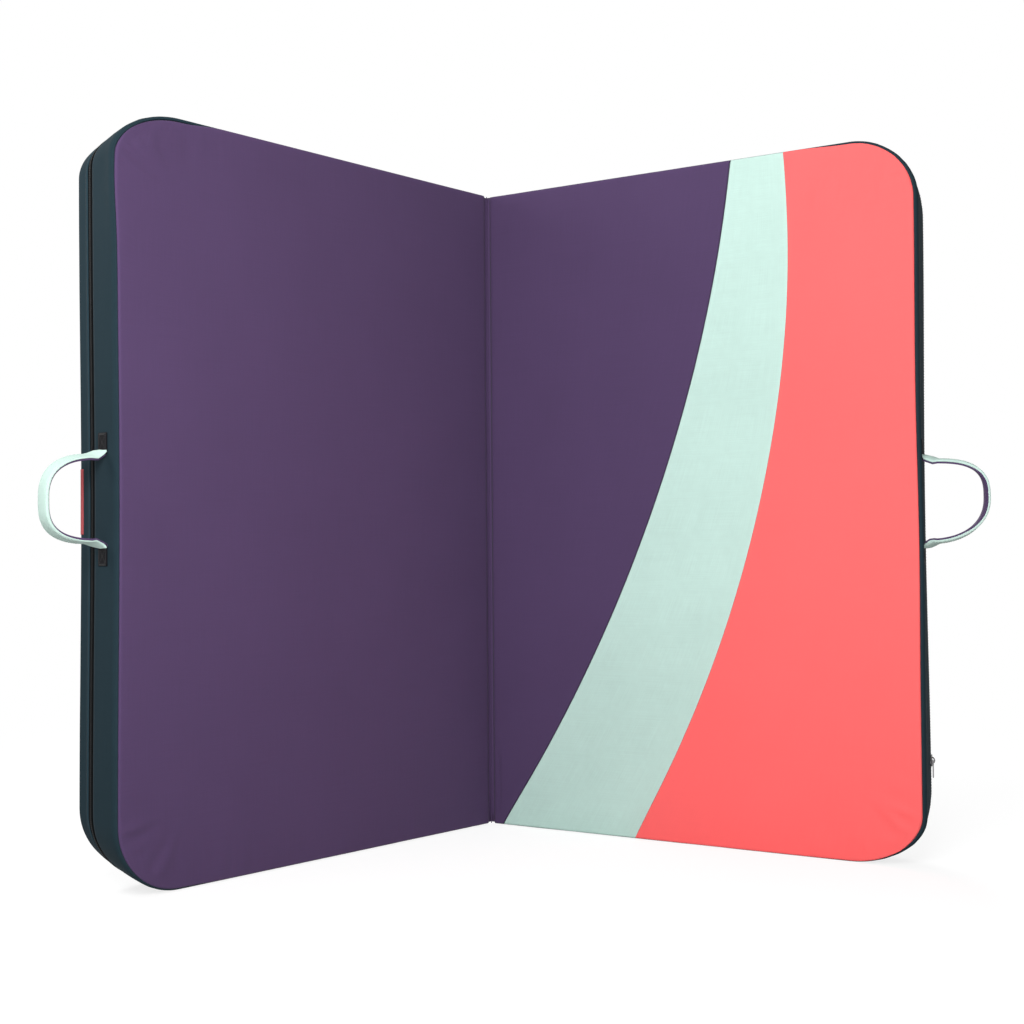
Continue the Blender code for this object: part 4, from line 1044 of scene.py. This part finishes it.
def stitches(name, side, sewn_lines, finish, stitch=0.0032, gap=0.0008, radius=0.00028):
    """Sewn stitches along lines of (point, surface direction): a short humped thread for each."""
    points, faces = [], []
    for line in sewn_lines:
        places = settled(side, [place for place, _ in line])
        outs = np.array([out for _, out in line], float)
        run = np.r_[0, np.linalg.norm(np.diff(places, axis=0), axis=1).cumsum()]
        for number in range(int(run[-1] / (stitch + gap))):
            faces += tube_faces(len(points), 4, 5, side == RIGHT)
            for share, thick, sunk in ((0, 0.45, -0.9), (0.2, 1, 0.25), (0.8, 1, 0.25), (1, 0.45, -0.9)):
                at = number * (stitch + gap) + gap / 2 + stitch * share
                ahead = along_line(min(at + 1e-4, run[-1]), run, places)
                behind = along_line(max(at - 1e-4, 0), run, places)
                out = along_line(at, run, outs)
                beside_line = np.cross(ahead - behind, out)
                beside_line /= max(np.linalg.norm(beside_line), 1e-9)
                out /= max(np.linalg.norm(out), 1e-9)
                for turn in (math.tau * k / 5 for k in range(5)):
                    lifted = out * (sunk + thick * math.sin(turn)) + beside_line * thick * math.cos(turn)
                    x, y, z = along_line(at, run, places) + radius * lifted
                    points.append((side * x, y, z))
    return new_piece(name, side, points, faces, finish)


def line_on(out, *places):
    """A line of stitches through places on a surface that faces out."""
    return [(place, out) for place in places]


def crossed_box(centre, along, across, out):
    """The stitch lines of a sewn box with a cross in it, from its centre and its half sides."""
    centre, along, across = np.array(centre), np.array(along), np.array(across)
    corners = [centre + a * along + b * across for a, b in ((-1, -1), (1, -1), (1, 1), (-1, 1))]
    pairs = ((0, 1), (1, 2), (2, 3), (3, 0), (0, 2), (1, 3))
    return [line_on(out, corners[a], corners[b]) for a, b in pairs]


mint_thread = thread_finish("mint_thread", rgb(188, 211, 203))
black_thread = thread_finish("black_thread", rgb(24, 24, 27))
ANCHOR_LENGTH = 0.026
ANCHOR_TURN = 0.0016
ANCHOR_GAP = 0.0029
ANCHOR_BOX_HALF = (0.0072, 0.0098)
BAR_TACK_HALF = 0.0078
BAR_TACKS = (-0.0115, -0.0105, 0.0105, 0.0115)
WEB = 0.0014
WEB_EDGES = ((-1, 1), (-0.86, 0.3), (-0.4, 0), (0.4, 0), (0.86, 0.3), (1, 1))
WEB_FLAT = 0.0003 + WEB / 2


def anchor_rows(side, up, root):
    """Rows of a handle's anchor: flat on the wall, then turned out at the handle's root."""
    lean = wall_lean(side, HANDLE_LEVEL)
    slope = 2 * lean / HANDLE_LEVEL
    bend = [math.pi + math.pi / 2 * k / 5 for k in range(6)]
    turn_lift, turn_away = WEB_FLAT + ANCHOR_TURN, root + ANCHOR_TURN
    turned = [(turn_lift + ANCHOR_TURN * math.cos(t), turn_away + ANCHOR_TURN * math.sin(t)) for t in bend]
    far_end = turn_away + ANCHOR_LENGTH
    straight = [(WEB_FLAT, far_end + (turned[0][1] - far_end) * k / 8) for k in range(8)]
    path = straight + turned + [(0.0048, root)]
    rows = []
    for number, (lift, away) in enumerate(path):
        share = min(max((number - 8) / (len(path) - 9), 0), 1)
        half_wide = HANDLE_WIDTH / 2 - 0.0006 + (ROOT_WIDTH - HANDLE_WIDTH) / 2 * share
        height = HEIGHT / 2 + up * away
        stand = wall_reach(height) - lean + lift - (0.0003 if number == 0 else 0)
        row = []
        for across, hem in ((part * half_wide, hem) for part, hem in WEB_EDGES):
            row.append((stand - slope * across, HANDLE_LEVEL + across - ROOT_SHIFT * share, height, hem))
        rows.append(row)
    return rows


def anchor_sewing(side, middle):
    """The stitch lines of an anchor: a crossed box between two pairs of bar-tacks."""
    lean = wall_lean(side, HANDLE_LEVEL)
    slope = 2 * lean / HANDLE_LEVEL
    surface = wall_reach(middle) - lean + WEB_FLAT + WEB / 2
    out = (1, slope, 0)
    half_wide, half_tall = ANCHOR_BOX_HALF
    box_side = (-slope * half_wide, half_wide, 0)
    sewn_lines = crossed_box((surface, HANDLE_LEVEL, middle), box_side, (0, 0, half_tall), out)
    for bar in BAR_TACKS:
        across = (-BAR_TACK_HALF, BAR_TACK_HALF)
        ends = [(surface - slope * half, HANDLE_LEVEL + half, middle + bar) for half in across]
        sewn_lines.append(line_on(out, *ends))
    return sewn_lines


for side, word in WORDS.items():
    rows = handle_layer(side, sleeve_profile, wrapped_profile)
    sleeve = lay(f"{word}_handle_sleeve_cloth", side, rows, sleeve_cloth, 0.0008)
    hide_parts(f"{word}_handle_sleeve")
    rows = handle_layer(side, lining_profile)
    lining = lay(f"{word}_handle_lining_web", side, rows, purple_cloth, LINING, bevel=0.0008)
    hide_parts(f"{word}_handle_lining")
    hem_lines = []
    for share in (-0.84, 0.84):
        rows = handle_layer(side, [(share, 0.0019, 0)])
        line = [(row[0][:3], (away[0], 0, away[1])) for row, (_, _, away) in zip(rows, handle_line(side))]
        hem_lines.append(line[7:-7])
    hand_stitches = stitches(f"{word}_handle_stitches", side, hem_lines, mint_thread, 0.0026, 0.0007, 0.00022)
    belongs(hand_stitches, f"{word}_handle", "mint_cloth")
    bend_reaches = [side * (handle_pivot(side) + out) for out in (0.0005, 0.015)]
    bend_span = [HALF[side] @ Vector((reach, HANDLE_LEVEL, HEIGHT / 2)) for reach in bend_reaches]
    for piece in (sleeve, lining):
        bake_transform(piece)

    for (up, span, _), place_word in zip(HANDLE_HALVES[side], ("lower", "upper")):
        root = span + ANCHOR_GAP
        name = f"{word}_{place_word}_anchor"
        rows = anchor_rows(side, up, root)
        anchor = lay(f"{name}_web", side, rows, black_web, WEB, rise=0, flip=up == 1)
        belongs(anchor, f"{word}_half", "black_web", f"{word}_handle_{place_word}_anchor")
        middle = HEIGHT / 2 + up * (root + ANCHOR_TURN + ANCHOR_LENGTH * 0.52)
        sewing = anchor_sewing(side, middle)
        sewn = stitches(f"{name}_stitches", side, sewing, black_thread, 0.0024, 0.0006)
        belongs(sewn, f"{word}_half", "black_web")


# The coral tab. A short strip of coral cloth is sewn over the ground edge of the left half, between
# the ends of its handle. It is left bare.

TAB_EDGE = 0.006
TAB_ENDS = (0.458, 0.542)
TAB_SEAM = 0.003
tab_levels = [(-0.0001, 0.0745, 1), (-0.0001, 0.0754, 0.4), (-0.0001, 0.0782, 0)]
tab_levels += [(TAB_EDGE - 0.0061 * cosine, 0.079 + 0.0063 * sine, 0) for sine, cosine in quarter]
tab_levels += [(0.006 + 0.039 * k / 6, 0.0854, float(k == 6)) for k in range(1, 7)]
rows = []
for height in lines(*TAB_ENDS, 0.006, WALL_HEM):
    hem = math.exp(-min(height - TAB_ENDS[0], TAB_ENDS[1] - height) / 0.0015)
    wall = wall_reach(height)
    rows.append([(wall - depth, level, height, max(hem, edge)) for depth, level, edge in tab_levels])
tab_cloth = woven_finish("coral_tab_cloth", rgb(158, 68, 72), thread=0.0006, wear_and_highlight=1.15)
tab = lay("left_edge_tab_cloth", LEFT, rows, tab_cloth, 0.0006, rise=1)
belongs(tab, "left_half", "coral_cloth", "left_edge_tab")
to_ground = (0, 1, 0)
seam_heights = (TAB_ENDS[0] + TAB_SEAM, TAB_ENDS[1] - TAB_SEAM)
tab_lines = []
for height in seam_heights:
    seam = [(wall_reach(height) - depth, level + 0.0006, height) for depth, level, _ in tab_levels[-7:]]
    tab_lines.append(line_on(to_ground, *seam))
inner_seam = [(wall_reach(HEIGHT / 2) - 0.0425, 0.0862, height) for height in seam_heights]
tab_lines.append(line_on(to_ground, *inner_seam))
coral_thread = thread_finish("coral_thread", rgb(235, 98, 98))
belongs(stitches("left_edge_tab_stitches", LEFT, tab_lines, coral_thread), "left_half", "coral_cloth")


# The zip sliders. Each is a die-cast zinc body, painted black, that rides on the coil, with a flat
# pull hung in its bridge. The paint has rubbed thin on the edges.

painted, shader, start = new_finish("painted_zinc", 0.4, 0.5, Coat_Roughness=0.25)
grain = start.place().grain(400.0, 4.0)
bare_edge = start.node("NewGeometry", output="Pointiness")
rubbed_off = ((bare_edge - 0.52) * 14 * (grain + 0.3)).clamped()
connect(
    shader,
    Base_Color=tint(rgb(30, 28, 32), rgb(150, 148, 150), rubbed_off),
    Metallic=0.35 + rubbed_off * 0.6,
    Roughness=0.34 + grain * 0.2,
    Coat_Weight=0.3 - rubbed_off * 0.3,
    Normal=grain.relief(0.25, 0.00008),
)
for word in WORDS.values():
    for part in ("slider", "pull"):
        frame["nodes"][f"{word}_zip_{part}"].material_slots[0].material = painted


# The shoulder harness. Two padded straps hang from a teal patch sewn on the left half's ground
# side. Each strap is foam in dark cloth with a bound edge and sewn channels, and its narrow foot
# holds a ladder lock, through which a web runs up from a tack near the floor.

HARNESS_CENTRE = WIDTH * 0.49
HARNESS_TOP = 0.775
STRAP_TOP = 0.805
STRAP_LENGTH = 0.400
STRAP_PADDING = 0.009
STRAP_HALF, STRAP_FOOT_HALF = 0.031, 0.016
STRAP_SPREAD, STRAP_SPREADING = 0.062, 0.058
strap_cloth = woven_finish("strap_cloth_weave", rgb(41, 47, 51), thread=0.0011, relief=0.8, wear_and_highlight=1.4)


def strap_spread(share):
    """Half the distance between the two straps, a share of the way down them."""
    bow = math.sin(math.pi * share)
    return STRAP_SPREAD + STRAP_SPREADING * share + STRAP_SPREADING * bow / 2


def strap_half_width(share):
    """Half a strap's width, a share of the way down it: it narrows over its last quarter."""
    return STRAP_HALF - (STRAP_HALF - STRAP_FOOT_HALF) * gentle((share - 0.75) / 0.25)


def padded_strap(hand):
    """Rings of a padded strap: crowned on top, flat where it lies, drawn in at its sewn channels."""
    section = 28
    rows = []
    for share in [k / 90 for k in range(91)]:
        centre = HARNESS_CENTRE + hand * strap_spread(share)
        half = strap_half_width(share)
        end = min(min(share, 1 - share) * STRAP_LENGTH / 0.008, 1)
        tall = STRAP_PADDING * (0.35 + 0.65 * math.sqrt(end * (2 - end)))
        row = []
        for k in range(section + 1):
            turn = math.tau * k / section
            across = math.copysign(abs(math.cos(turn)) ** 0.55, math.cos(turn))
            lift = math.copysign(abs(math.sin(turn)) ** 0.8, math.sin(turn))
            channel = sum(bell((across - place) * half, 0.0022) for place in (-0.42, 0.42))
            quilt = 0.25 * bell(share * STRAP_LENGTH % 0.05 - 0.025, 0.003)
            sewn = 0.35 * channel + 0.4 * quilt if lift > 0 else 0
            swell = (1 - sewn) * (1 - 0.25 * across * across)
            level = THICKNESS + 0.0004 + tall * max(0.42 + 0.55 * lift * swell, 0)
            hem = math.exp(-abs(level - THICKNESS - 0.42 * tall) / 0.0012) * (abs(across) > 0.9)
            row.append((centre + across * half, level, STRAP_TOP - STRAP_LENGTH * share, hem))
        rows.append(row)
    return rows


for hand, word in ((-1, "inner"), (1, "outer")):
    strap = lay(f"{word}_padded_strap", LEFT, padded_strap(hand), strap_cloth)
    shape = bmesh.new()
    shape.from_mesh(strap.data)
    bmesh.ops.remove_doubles(shape, verts=shape.verts, dist=0.00001)
    bmesh.ops.holes_fill(shape, edges=shape.edges)
    bmesh.ops.recalc_face_normals(shape, faces=shape.faces)
    shape.to_mesh(strap.data)
    shape.free()
    belongs(strap, "left_half", "strap_cloth", f"{word}_shoulder_strap")


def web_strip(name, side, route, half_wide, upright, node):
    """A strip of webbing along (reach, level, height) points, with its woven edges."""
    fine = []
    for start, end in zip(route, route[1:]):
        count = max(1, round((Vector(end) - Vector(start)).length / 0.006))
        fine += [tuple(Vector(start).lerp(Vector(end), k / count)) for k in range(count)]
    fine.append(route[-1])
    wide, tall = (half_wide, 0) if upright else (0, half_wide)
    hems = ((-1, 1), (-0.88, 0.3), (-0.45, 0), (0.45, 0), (0.88, 0.3), (1, 1))
    rows = []
    for reach, level, height in fine:
        rows.append([(reach + a * wide, level, height + a * tall, hem) for a, hem in hems])
    made = lay(name, side, rows, black_web, WEB, rise=0, on_cover=False)
    return belongs(made, f"{WORDS[side]}_half", "black_web", node)


PATCH_HALF = 0.135
PATCH_HEIGHT = 0.060
PATCH_SEAMS = (0.003, 0.0065)
PATCH_HEM = (0, 0.001, 0.002)
ground_level = THICKNESS + 0.0003
patch_over = ground_level + STRAP_PADDING + 0.0006
patch_low, patch_high = HARNESS_TOP, HARNESS_TOP + PATCH_HEIGHT
rows = []
for height in lines(patch_low, patch_high, 0.0025, PATCH_HEM):
    down = max((STRAP_TOP - height) / STRAP_LENGTH, 0)
    above = max(height - STRAP_TOP - 0.001, 0)
    row = []
    for reach in lines(-PATCH_HALF, PATCH_HALF, 0.003, PATCH_HEM):
        from_strap = min(abs(reach - hand * strap_spread(down)) for hand in (-1, 1))
        beside_strap = max(from_strap - strap_half_width(0) - 0.004, 0)
        lifted = bell(beside_strap, 0.009) * bell(above, 0.009)
        edge = min(PATCH_HALF - abs(reach), patch_high - height)
        ease = min(edge / 0.006, 1)
        wrinkle = 0.0005 * noise.noise(Vector((reach / 0.012, height / 0.03, 0))) * ease
        level = ground_level + (patch_over - ground_level) * lifted * ease + max(wrinkle, 0)
        hem = math.exp(-min(edge, height - patch_low) / 0.0015)
        row.append((HARNESS_CENTRE + reach, level, height, hem))
    rows.append(row)
patch = lay("harness_patch_cloth", LEFT, rows, teal_cloth, CLOTH, rise=1, flip=True)
belongs(patch, "left_half", "teal_cloth", "harness_top_patch")
patch_lines = []
top_end = PATCH_HALF - PATCH_SEAMS[0]
for inset in PATCH_SEAMS:
    side_seam, top_seam = PATCH_HALF - inset, patch_high - inset
    for ends in (
        ((-side_seam, patch_low), (-side_seam, patch_high)),
        ((side_seam, patch_low), (side_seam, patch_high)),
        ((-top_end, top_seam), (top_end, top_seam)),
    ):
        places = [(HARNESS_CENTRE + reach, ground_level + 0.0013, up) for reach, up in ends]
        patch_lines.append(line_on(to_ground, *places))
belongs(stitches("harness_patch_stitches", LEFT, patch_lines, black_thread), "left_half", "teal_cloth")

moulded, shader, start = new_finish("moulded_acetal", 0.4, 0.5)
grain, flow = (start.place().grain(*sizes) for sizes in ((900.0, 3.0), (40.0, 2.0)))
connect(
    shader,
    Base_Color=tint(rgb(20, 20, 22), rgb(42, 42, 45), grain * 0.5 + flow * 0.5),
    Roughness=0.34 + grain * 0.22,
    Normal=grain.relief(0.35, 0.00008),
)

LADDER_LENGTH = 0.026
LADDER_BAR = 0.0032
LADDER_SLOT = 0.0062
LADDER_THICKNESS = 0.003


def turn_round(centre, radius, start, end):
    """Points of a web's turn round a bar, in two coordinates."""
    angles = [start + (end - start) * k / 10 for k in range(11)]
    return [(centre[0] + radius * math.cos(t), centre[1] + radius * math.sin(t)) for t in angles]


HARNESS_WEB_HALF = 0.010
HARNESS_FOOT = 0.165
FOOT_SEWING = 0.180
strap_end = STRAP_TOP - STRAP_LENGTH
lock_level = ground_level + STRAP_PADDING / 2
lock_top = strap_end - LADDER_SLOT
lock_wrap = math.hypot(LADDER_BAR, LADDER_THICKNESS) / 2 + 0.0003 + WEB / 2
web_level = ground_level + WEB / 2
for hand, word in ((-1, "inner"), (1, "outer")):
    frame["nodes"][f"{word}_ladder_lock"].material_slots[0].material = moulded
    foot = HARNESS_CENTRE + hand * strap_spread(1)
    top_bar = lock_top - LADDER_BAR / 2
    hanger = [(strap_end - 0.0003, lock_level - lock_wrap)]
    hanger += turn_round((top_bar, lock_level), lock_wrap, -math.pi / 2, -1.5 * math.pi)
    hanger += [(strap_end - 0.0003, lock_level + lock_wrap)]
    middle_bar = lock_top - 1.5 * LADDER_BAR - LADDER_SLOT
    tail = [(HARNESS_FOOT, web_level), (lock_top - LADDER_LENGTH - LADDER_SLOT, web_level)]
    tail += [(lock_top - LADDER_LENGTH + LADDER_BAR, lock_level - lock_wrap)]
    tail += turn_round((middle_bar, lock_level), lock_wrap, -math.pi / 2, math.pi / 2)
    tail += [(lock_top - LADDER_LENGTH - LADDER_BAR, lock_level + lock_wrap)]
    tail += [(lock_top - 0.095, web_level + 2 * WEB), (lock_top - 0.095 - LADDER_LENGTH, web_level + 2 * WEB)]
    for line, piece, node in ((hanger, "lock_loop_web", "lock_loop"), (tail, "harness_web", "lock_web")):
        route = [(foot, level, height) for height, level in line]
        web_strip(f"{word}_{piece}", LEFT, route, HARNESS_WEB_HALF, True, f"{word}_{node}")
    centre = (foot, ground_level + WEB + 0.0001, FOOT_SEWING)
    sewing = crossed_box(centre, (0.0075, 0, 0), (0, 0, 0.011), to_ground)
    belongs(stitches(f"{word}_harness_foot_stitches", LEFT, sewing, black_thread), "left_half", "black_web")


# The closing straps. Black webbing is box-stitched to the ground side beside the outer edge of
# each half. The left half's short straps hold the sockets of side-release buckles, and the right
# half's long ones fold back on to the panel with the plugs; all are moulded in black acetal.

CLOSURE_EDGE = WIDTH - 0.024
SEWN_LENGTH = 0.090
TAIL_LENGTH = 0.190
BUCKLE_BAR = 0.0032
BUCKLE_SLOT = 0.0064
SOCKET_LENGTH = 0.044
SOCKET_THICKNESS = 0.010
PLUG_THICKNESS = 0.0046
CLOSURE_TURN = 0.0017
CLOSURE_WEB_HALF = 0.0125
buckle_wrap = math.hypot(BUCKLE_BAR, PLUG_THICKNESS) / 2 + 0.0003 + WEB / 2
for share, word in ((0.22, "lower"), (0.78, "upper")):
    height = HEIGHT * share
    for part in ("socket", "plug"):
        frame["nodes"][f"{word}_closure_{part}"].material_slots[0].material = moulded

    bar = CLOSURE_EDGE - SOCKET_LENGTH + BUCKLE_BAR / 2
    level = ground_level + SOCKET_THICKNESS / 2
    sewn_end, ramp = bar - SEWN_LENGTH, bar - SOCKET_LENGTH / 2
    socket_line = [(sewn_end, web_level), (ramp, web_level)]
    socket_line += turn_round((bar, level), buckle_wrap, -math.pi / 2, math.pi / 2)
    over = web_level + WEB + 0.0003
    socket_line += [(ramp, over), (sewn_end + SOCKET_LENGTH / 2, over)]

    bar = CLOSURE_EDGE - TAIL_LENGTH
    plug_line = [(CLOSURE_EDGE - SEWN_LENGTH, web_level)]
    turn_centre = (CLOSURE_EDGE, web_level + CLOSURE_TURN)
    plug_line += turn_round(turn_centre, CLOSURE_TURN, -math.pi / 2, math.pi / 2)
    plug_line += [(bar + SOCKET_LENGTH, web_level + 2 * CLOSURE_TURN)]
    plug_line += turn_round((bar, web_level + buckle_wrap), buckle_wrap, math.pi / 2, 1.5 * math.pi)
    plug_line += [(bar + 2 * BUCKLE_SLOT, web_level)]
    for side, part, line in ((LEFT, "socket", socket_line), (RIGHT, "plug", plug_line)):
        route = [(reach, lift, height) for reach, lift in line]
        web_strip(f"{word}_{part}_web", side, route, CLOSURE_WEB_HALF, False, f"{word}_{part}_strap")

    for side, middle, half_long, layers in (
        (LEFT, CLOSURE_EDGE - SOCKET_LENGTH - 0.047, 0.017, 2 * WEB + 0.0003),
        (RIGHT, CLOSURE_EDGE - 0.073, 0.013, WEB),
    ):
        centre = (middle, ground_level + layers + 0.0001, height)
        sewing = crossed_box(centre, (half_long, 0, 0), (0, 0, 0.0098), to_ground)
        sewn = stitches(f"{WORDS[side]}_{word}_closure_stitches", side, sewing, black_thread)
        belongs(sewn, f"{WORDS[side]}_half", "black_web")


# The sewing on the cover. One line of stitches runs down each colour seam, on the side away from
# the fold, and one line along each of the side bands' turned edges, on both sides of the zip.

SEAM_STITCH_SHIFT = 0.0034
ZIP_STITCH_LEVELS = (("front", 0.0470), ("ground", 0.0640))
for colour, curve, thread in (("mint", PURPLE_CURVE, mint_thread), ("coral", CORAL_CURVE, coral_thread)):
    seam_places = []
    for height in lines(0.012, HEIGHT - 0.012, 0.01):
        reach = seam_reach(curve, height) + SEAM_STITCH_SHIFT
        seam_places.append((reach, pucker(RIGHT, reach, height) - crown(reach, height), height))
    sewn = stitches(f"{colour}_seam_stitches", RIGHT, [line_on((0, -1, 0), *seam_places)], thread)
    belongs(sewn, "right_half", f"{colour}_cloth")
for side, word in WORDS.items():
    for place_word, level in ZIP_STITCH_LEVELS:
        lean = wall_lean(side, level)
        line = [
            ((reach - out * lean, level, height), (out, 0, up)) for reach, height, out, up, _ in rim(0.01)
        ]
        sewn = stitches(f"{word}_{place_word}_zip_stitches", side, [line], black_thread)
        belongs(sewn, f"{word}_half", "teal_cloth")


# The studio. A pale floor and white surroundings, lit softly from in front, from behind and a
# little from above and from the left. The camera stands a little below the middle of the pad.

CAMERA_PLACE = Vector((-0.3045, fold_line.y - 2.3134, 0.4373))
YAW, PITCH, ROLL = math.radians(8.384), math.radians(1.383), math.radians(-0.463)
LENS_PIXELS = 1459.68
PHOTO_PIXELS = 1024
ahead = Vector((math.sin(YAW) * math.cos(PITCH), math.cos(YAW) * math.cos(PITCH), math.sin(PITCH)))
level_right = Vector((math.cos(YAW), -math.sin(YAW), 0))
level_up = level_right.cross(ahead)
right = level_right * math.cos(ROLL) + level_up * math.sin(ROLL)
upward = level_up * math.cos(ROLL) - level_right * math.sin(ROLL)
lens = bpy.data.cameras.new("studio_camera")
lens.lens = LENS_PIXELS / PHOTO_PIXELS * lens.sensor_width
camera = in_scene("studio_camera", lens)
camera.matrix_world = Matrix((
    (right.x, upward.x, -ahead.x, CAMERA_PLACE.x),
    (right.y, upward.y, -ahead.y, CAMERA_PLACE.y),
    (right.z, upward.z, -ahead.z, CAMERA_PLACE.z),
    (0, 0, 0, 1),
))
bpy.context.scene.camera = camera


def seen_directly(signal):
    """1 for rays that show the surroundings: straight, in a gloss or through glass."""
    kinds = ("Camera", "Glossy", "Transmission")
    straight, in_gloss, through_glass = (signal.node("LightPath", output=f"Is {kind} Ray") for kind in kinds)
    return (straight + in_gloss + through_glass).clamped()


def grey(level):
    """A neutral colour."""
    return (level, level, level, 1)


FLOOR_HALF = 9.0
FLOOR_LEVEL = -0.0022
SHADOW_NEAR = 0.75
SHADOW_FAR = 1.9
floor_mesh = bpy.data.meshes.new("studio_floor")
floor_signs = ((-1, -1), (1, -1), (1, 1), (-1, 1))
floor_corners = [(x * FLOOR_HALF, y * FLOOR_HALF, FLOOR_LEVEL) for x, y in floor_signs]
floor_mesh.from_pydata(floor_corners, [], [(0, 1, 2, 3)])
floor = in_scene("studio_floor", floor_mesh)
floor_paint = bpy.data.materials.new("studio_floor")
floor_paint.use_nodes = True
floor_paint.node_tree.nodes.clear()
paint = Signal(floor_paint.node_tree)
from_middle = paint.node("VectorMath", {"operation": "LENGTH"}, {0: paint.place()}, output="Value")
distant = ((from_middle - SHADOW_NEAR) / (SHADOW_FAR - SHADOW_NEAR)).clamped()
matt = paint.node("BsdfDiffuse", {}, {"Color": grey(0.58)})
shown_matt = paint.node("BsdfDiffuse", {}, {"Color": grey(0.25)})
shown_glow = paint.node("Emission", {}, {"Color": grey(1), "Strength": 0.80})
near_floor = paint.node("AddShader", {}, {0: shown_matt, 1: shown_glow})
far_floor = paint.node("Emission", {}, {"Color": grey(1), "Strength": 1.0})
shown = paint.node("MixShader", {}, {0: distant, 1: near_floor, 2: far_floor})
mixed = paint.node("MixShader", {}, {0: seen_directly(paint), 1: matt, 2: shown})
paint.node("OutputMaterial", {}, {"Surface": mixed}, output=None)
floor_mesh.materials.append(floor_paint)

surroundings = bpy.data.worlds.new("studio")
bpy.context.scene.world = surroundings
surroundings.use_nodes = True
surroundings.node_tree.nodes.clear()
sky = Signal(surroundings.node_tree)
sky_light = sky.node("Background", {}, {"Color": grey(1), "Strength": 0.21})
sky_shown = sky.node("Background", {}, {"Color": grey(1), "Strength": 1.0})
sky_mixed = sky.node("MixShader", {}, {0: seen_directly(sky), 1: sky_light, 2: sky_shown})
sky.node("OutputWorld", {}, {"Surface": sky_mixed}, output=None)

LAMPS = (
    ("front_softbox", (-0.42, -1.6, 1.08), (0.0, 0.0, 0.5), 0.9, 34.5),
    ("overhead_softbox", (0.0, -0.4, 2.8), (0.0, 0.0, 0.5), 1.6, 6),
    ("left_softbox", (-1.35, -0.02, 1.2), (-0.5, -0.2, 0.85), 0.4, 6),
    ("rear_softbox", (0.3, 2.0, 1.5), (0.0, 0.0, 0.5), 1.2, 42),
)
for name, place, target, size, power in LAMPS:
    lamp = bpy.data.lights.new(name, "AREA")
    lamp.size = size
    lamp.energy = power
    stand = in_scene(name, lamp)
    stand.location = place
    stand.rotation_euler = (Vector(place) - Vector(target)).to_track_quat("Z", "Y").to_euler()
    stand.visible_camera = False

bpy.context.scene.view_settings.view_transform = "Standard"
